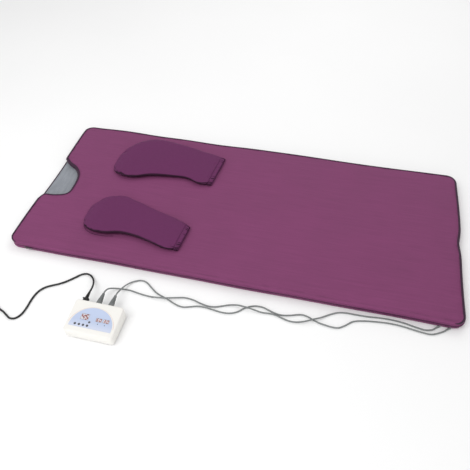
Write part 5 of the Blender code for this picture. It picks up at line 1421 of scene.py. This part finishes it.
def build_case_screws():
    screws = []
    for sx in (-1, 1):
        for sy in (-1, 1):
            place = (CASE[0] + sx * 0.075, CASE[1] + sy * 0.034, 0.0028)
            profile = [(0.0, 0.0008), (0.0030, 0.0008), (0.0032, 0.0), (0.0026, -0.0008), (0.0, -0.0010)]
            head = turned("screw", profile, steel, 24)
            head.matrix_world = Matrix.Translation(place)
            slots = [rounded_box("slot", (0.0036, 0.0006, 0.0004), (0, 0, -0.0009), 0.0, foot_rubber),
                     rounded_box("slot", (0.0006, 0.0036, 0.0004), (0, 0, -0.0009), 0.0, foot_rubber)]
            for slot_piece in slots:
                slot_piece.matrix_world = Matrix.Translation(place)
            screws += [head] + slots
    piece = join("case_screws", screws)
    settle(piece, "base_mat", "core_steel")


def extruded(name, loops, low, high, material, spacing=0.006):
    """A flat plate with holes, in the panel's own plane."""
    flat, triangles, _, rings = filled([np.array(loop) for loop in loops], spacing, (0.0006,))
    piece = crease(plate(name, flat, triangles, rings, high, low, material), 40.0)
    piece.data.transform(PANEL)
    return piece


def digit(character, centre, height, low, high, material):
    """A seven-segment figure."""
    wide, tall, thick = height * 0.54, height, height * 0.26
    places = {"a": (0, tall / 2, 0), "d": (0, -tall / 2, 0), "g": (0, 0, 0), "b": (wide / 2, tall / 4, 1),
              "c": (wide / 2, -tall / 4, 1), "f": (-wide / 2, tall / 4, 1), "e": (-wide / 2, -tall / 4, 1)}
    verts, faces = [], []
    for key in SEGMENTS[character]:
        x, y, upright = places[key]
        half = (tall / 2 if upright else wide) / 2 - thick * 0.12
        shape = [(-half, 0), (-half + thick / 2, -thick / 2), (half - thick / 2, -thick / 2), (half, 0),
                 (half - thick / 2, thick / 2), (-half + thick / 2, thick / 2)]
        if upright:
            shape = [(-b, a) for a, b in shape]
        first = len(verts)
        for level in (high, low):
            verts += [(centre[0] + x + a + (y + b) * 0.08, centre[1] + y + b, level) for a, b in shape]
        faces.append(tuple(first + k for k in range(6)))
        faces.append(tuple(first + 6 + k for k in range(6)))
        for k in range(6):
            n = (k + 1) % 6
            faces.append((first + k, first + n, first + 6 + n, first + 6 + k))
    piece = mesh_object("digit", verts, faces, material, False)
    piece.data.transform(PANEL)
    return piece


def build_film():
    """The printed film with its holes, and the thin arc round it."""
    holes = []
    for _, place, radius in BUTTONS:
        holes.append(np.array(ellipse(place, (radius + 0.0003, radius + 0.0003), 28)))
    for place in LEDS:
        holes.append(np.array(ellipse(place, (0.0017, 0.0017), 18)))
    for x, y, width, depth in DISPLAYS.values():
        loop = rounded_rectangle(width / 2 + 0.0003, depth / 2 + 0.0003, 0.0008, 3)
        holes.append(np.array(loop) + np.array((x, y)))
    film = extruded("panel_printed_film", [np.array(half_moon())] + holes, 0.0003, 0.0008, panel_blue)
    settle(film, "base_mat", "panel_blue", "panel_overlay")
    outer = [(x, y) for x, y in half_moon(0.0068) if y > 0.012]
    inner = [(x, y) for x, y in half_moon(0.0046) if y > 0.012]
    loop = resample(outer + inner[::-1], 0.003, closed=True)
    line = extruded("panel_arc_line", [loop], 0.00005, 0.00025, arc_print, 0.02)
    settle(line, "base_mat", "panel_blue")


def build_displays():
    """A frame and two lit figures on each display's window."""
    figures = {"display_main": "45", "display_left": "60", "display_right": "30"}
    for name, (x, y, width, depth) in DISPLAYS.items():
        frames = [np.array(rounded_rectangle(width / 2 - inset, depth / 2 - inset, corner, 4)) + (x, y)
                  for inset, corner in ((0.0, 0.0010), (0.0009, 0.0006))]
        rim = extruded(name + "_rim", frames, 0.0007, 0.00105, window_rim, 0.02)
        size = depth * 0.74
        pitch = width * 0.46
        lit = [digit(character, (x + (k - 0.5) * pitch, y), size, 0.0007, 0.00095, digit_glow)
               for k, character in enumerate(figures[name])]
        piece = join(name + "_figures", [rim] + lit)
        settle(piece, "base_mat", "display_orange")


def build_buttons():
    for name, place, radius in BUTTONS:
        profile = [(0.0, 0.00225), (radius * 0.45, 0.00222), (radius - 0.0009, 0.00205),
                   (radius - 0.0003, 0.0017), (radius, 0.0011), (radius, -0.0028), (radius * 0.6, -0.0028),
                   (radius * 0.6, -0.0088), (0.0, -0.0088)]
        cap = turned(name + "_cap", profile, button_dark, 36, 50.0)
        cap.data.transform(PANEL @ Matrix.Translation((*place, 0.0)))
        settle(cap, name, "button_dark", name)
        profile = [(radius + 0.0004, 0.0008), (radius + 0.0005, 0.00105), (radius + 0.0010, 0.00105),
                   (radius + 0.0012, 0.0008), (radius + 0.0004, 0.0008)]
        ring = turned(name + "_ring", profile, window_rim, 36)
        ring.data.transform(PANEL @ Matrix.Translation((*place, 0.0)))
        settle(ring, "base_mat", "case_white")


build_case_top()
build_case_base()
build_case_screws()
build_film()
build_displays()
build_buttons()


# ---- Floor and light ----
LAMPS = [("key", (-1.5, -1.7, 3.1), 2.8, 50.0), ("back", (0.4, 2.4, 2.6), 2.6, 22.0),
         ("front", (0.3, -3.0, 0.5), 2.0, 16.0)]


def build_stage():
    n = Nodes("studio_floor", 0.8)
    haze = n.noise(1.5, 2.0)
    n.colour(n.ramp(haze, [(0.2, (0.955, 0.955, 0.955, 1.0)), (0.8, (0.975, 0.975, 0.975, 1.0))]))
    floor = mesh_object("floor", [(-9, -9, -0.0004), (9, -9, -0.0004), (9, 9, -0.0004), (-9, 9, -0.0004)],
                        [(0, 1, 2, 3)], n.material)
    world = bpy.data.worlds.new("studio")
    world.use_nodes = True
    world.node_tree.nodes["Background"].inputs["Color"].default_value = (1.0, 1.0, 1.0, 1.0)
    world.node_tree.nodes["Background"].inputs["Strength"].default_value = 0.66
    bpy.context.scene.world = world
    for name, place, size, power in LAMPS:
        data = bpy.data.lights.new(name, "AREA")
        data.shape = "DISK"
        data.size = size
        data.energy = power
        lamp = linked(name, data)
        lamp.location = place
        lamp.rotation_euler = (Vector((0.0, -0.1, 0.0)) - Vector(place)).to_track_quat("-Z", "Y").to_euler()
    bpy.context.scene.view_settings.view_transform = "Standard"


build_stage()
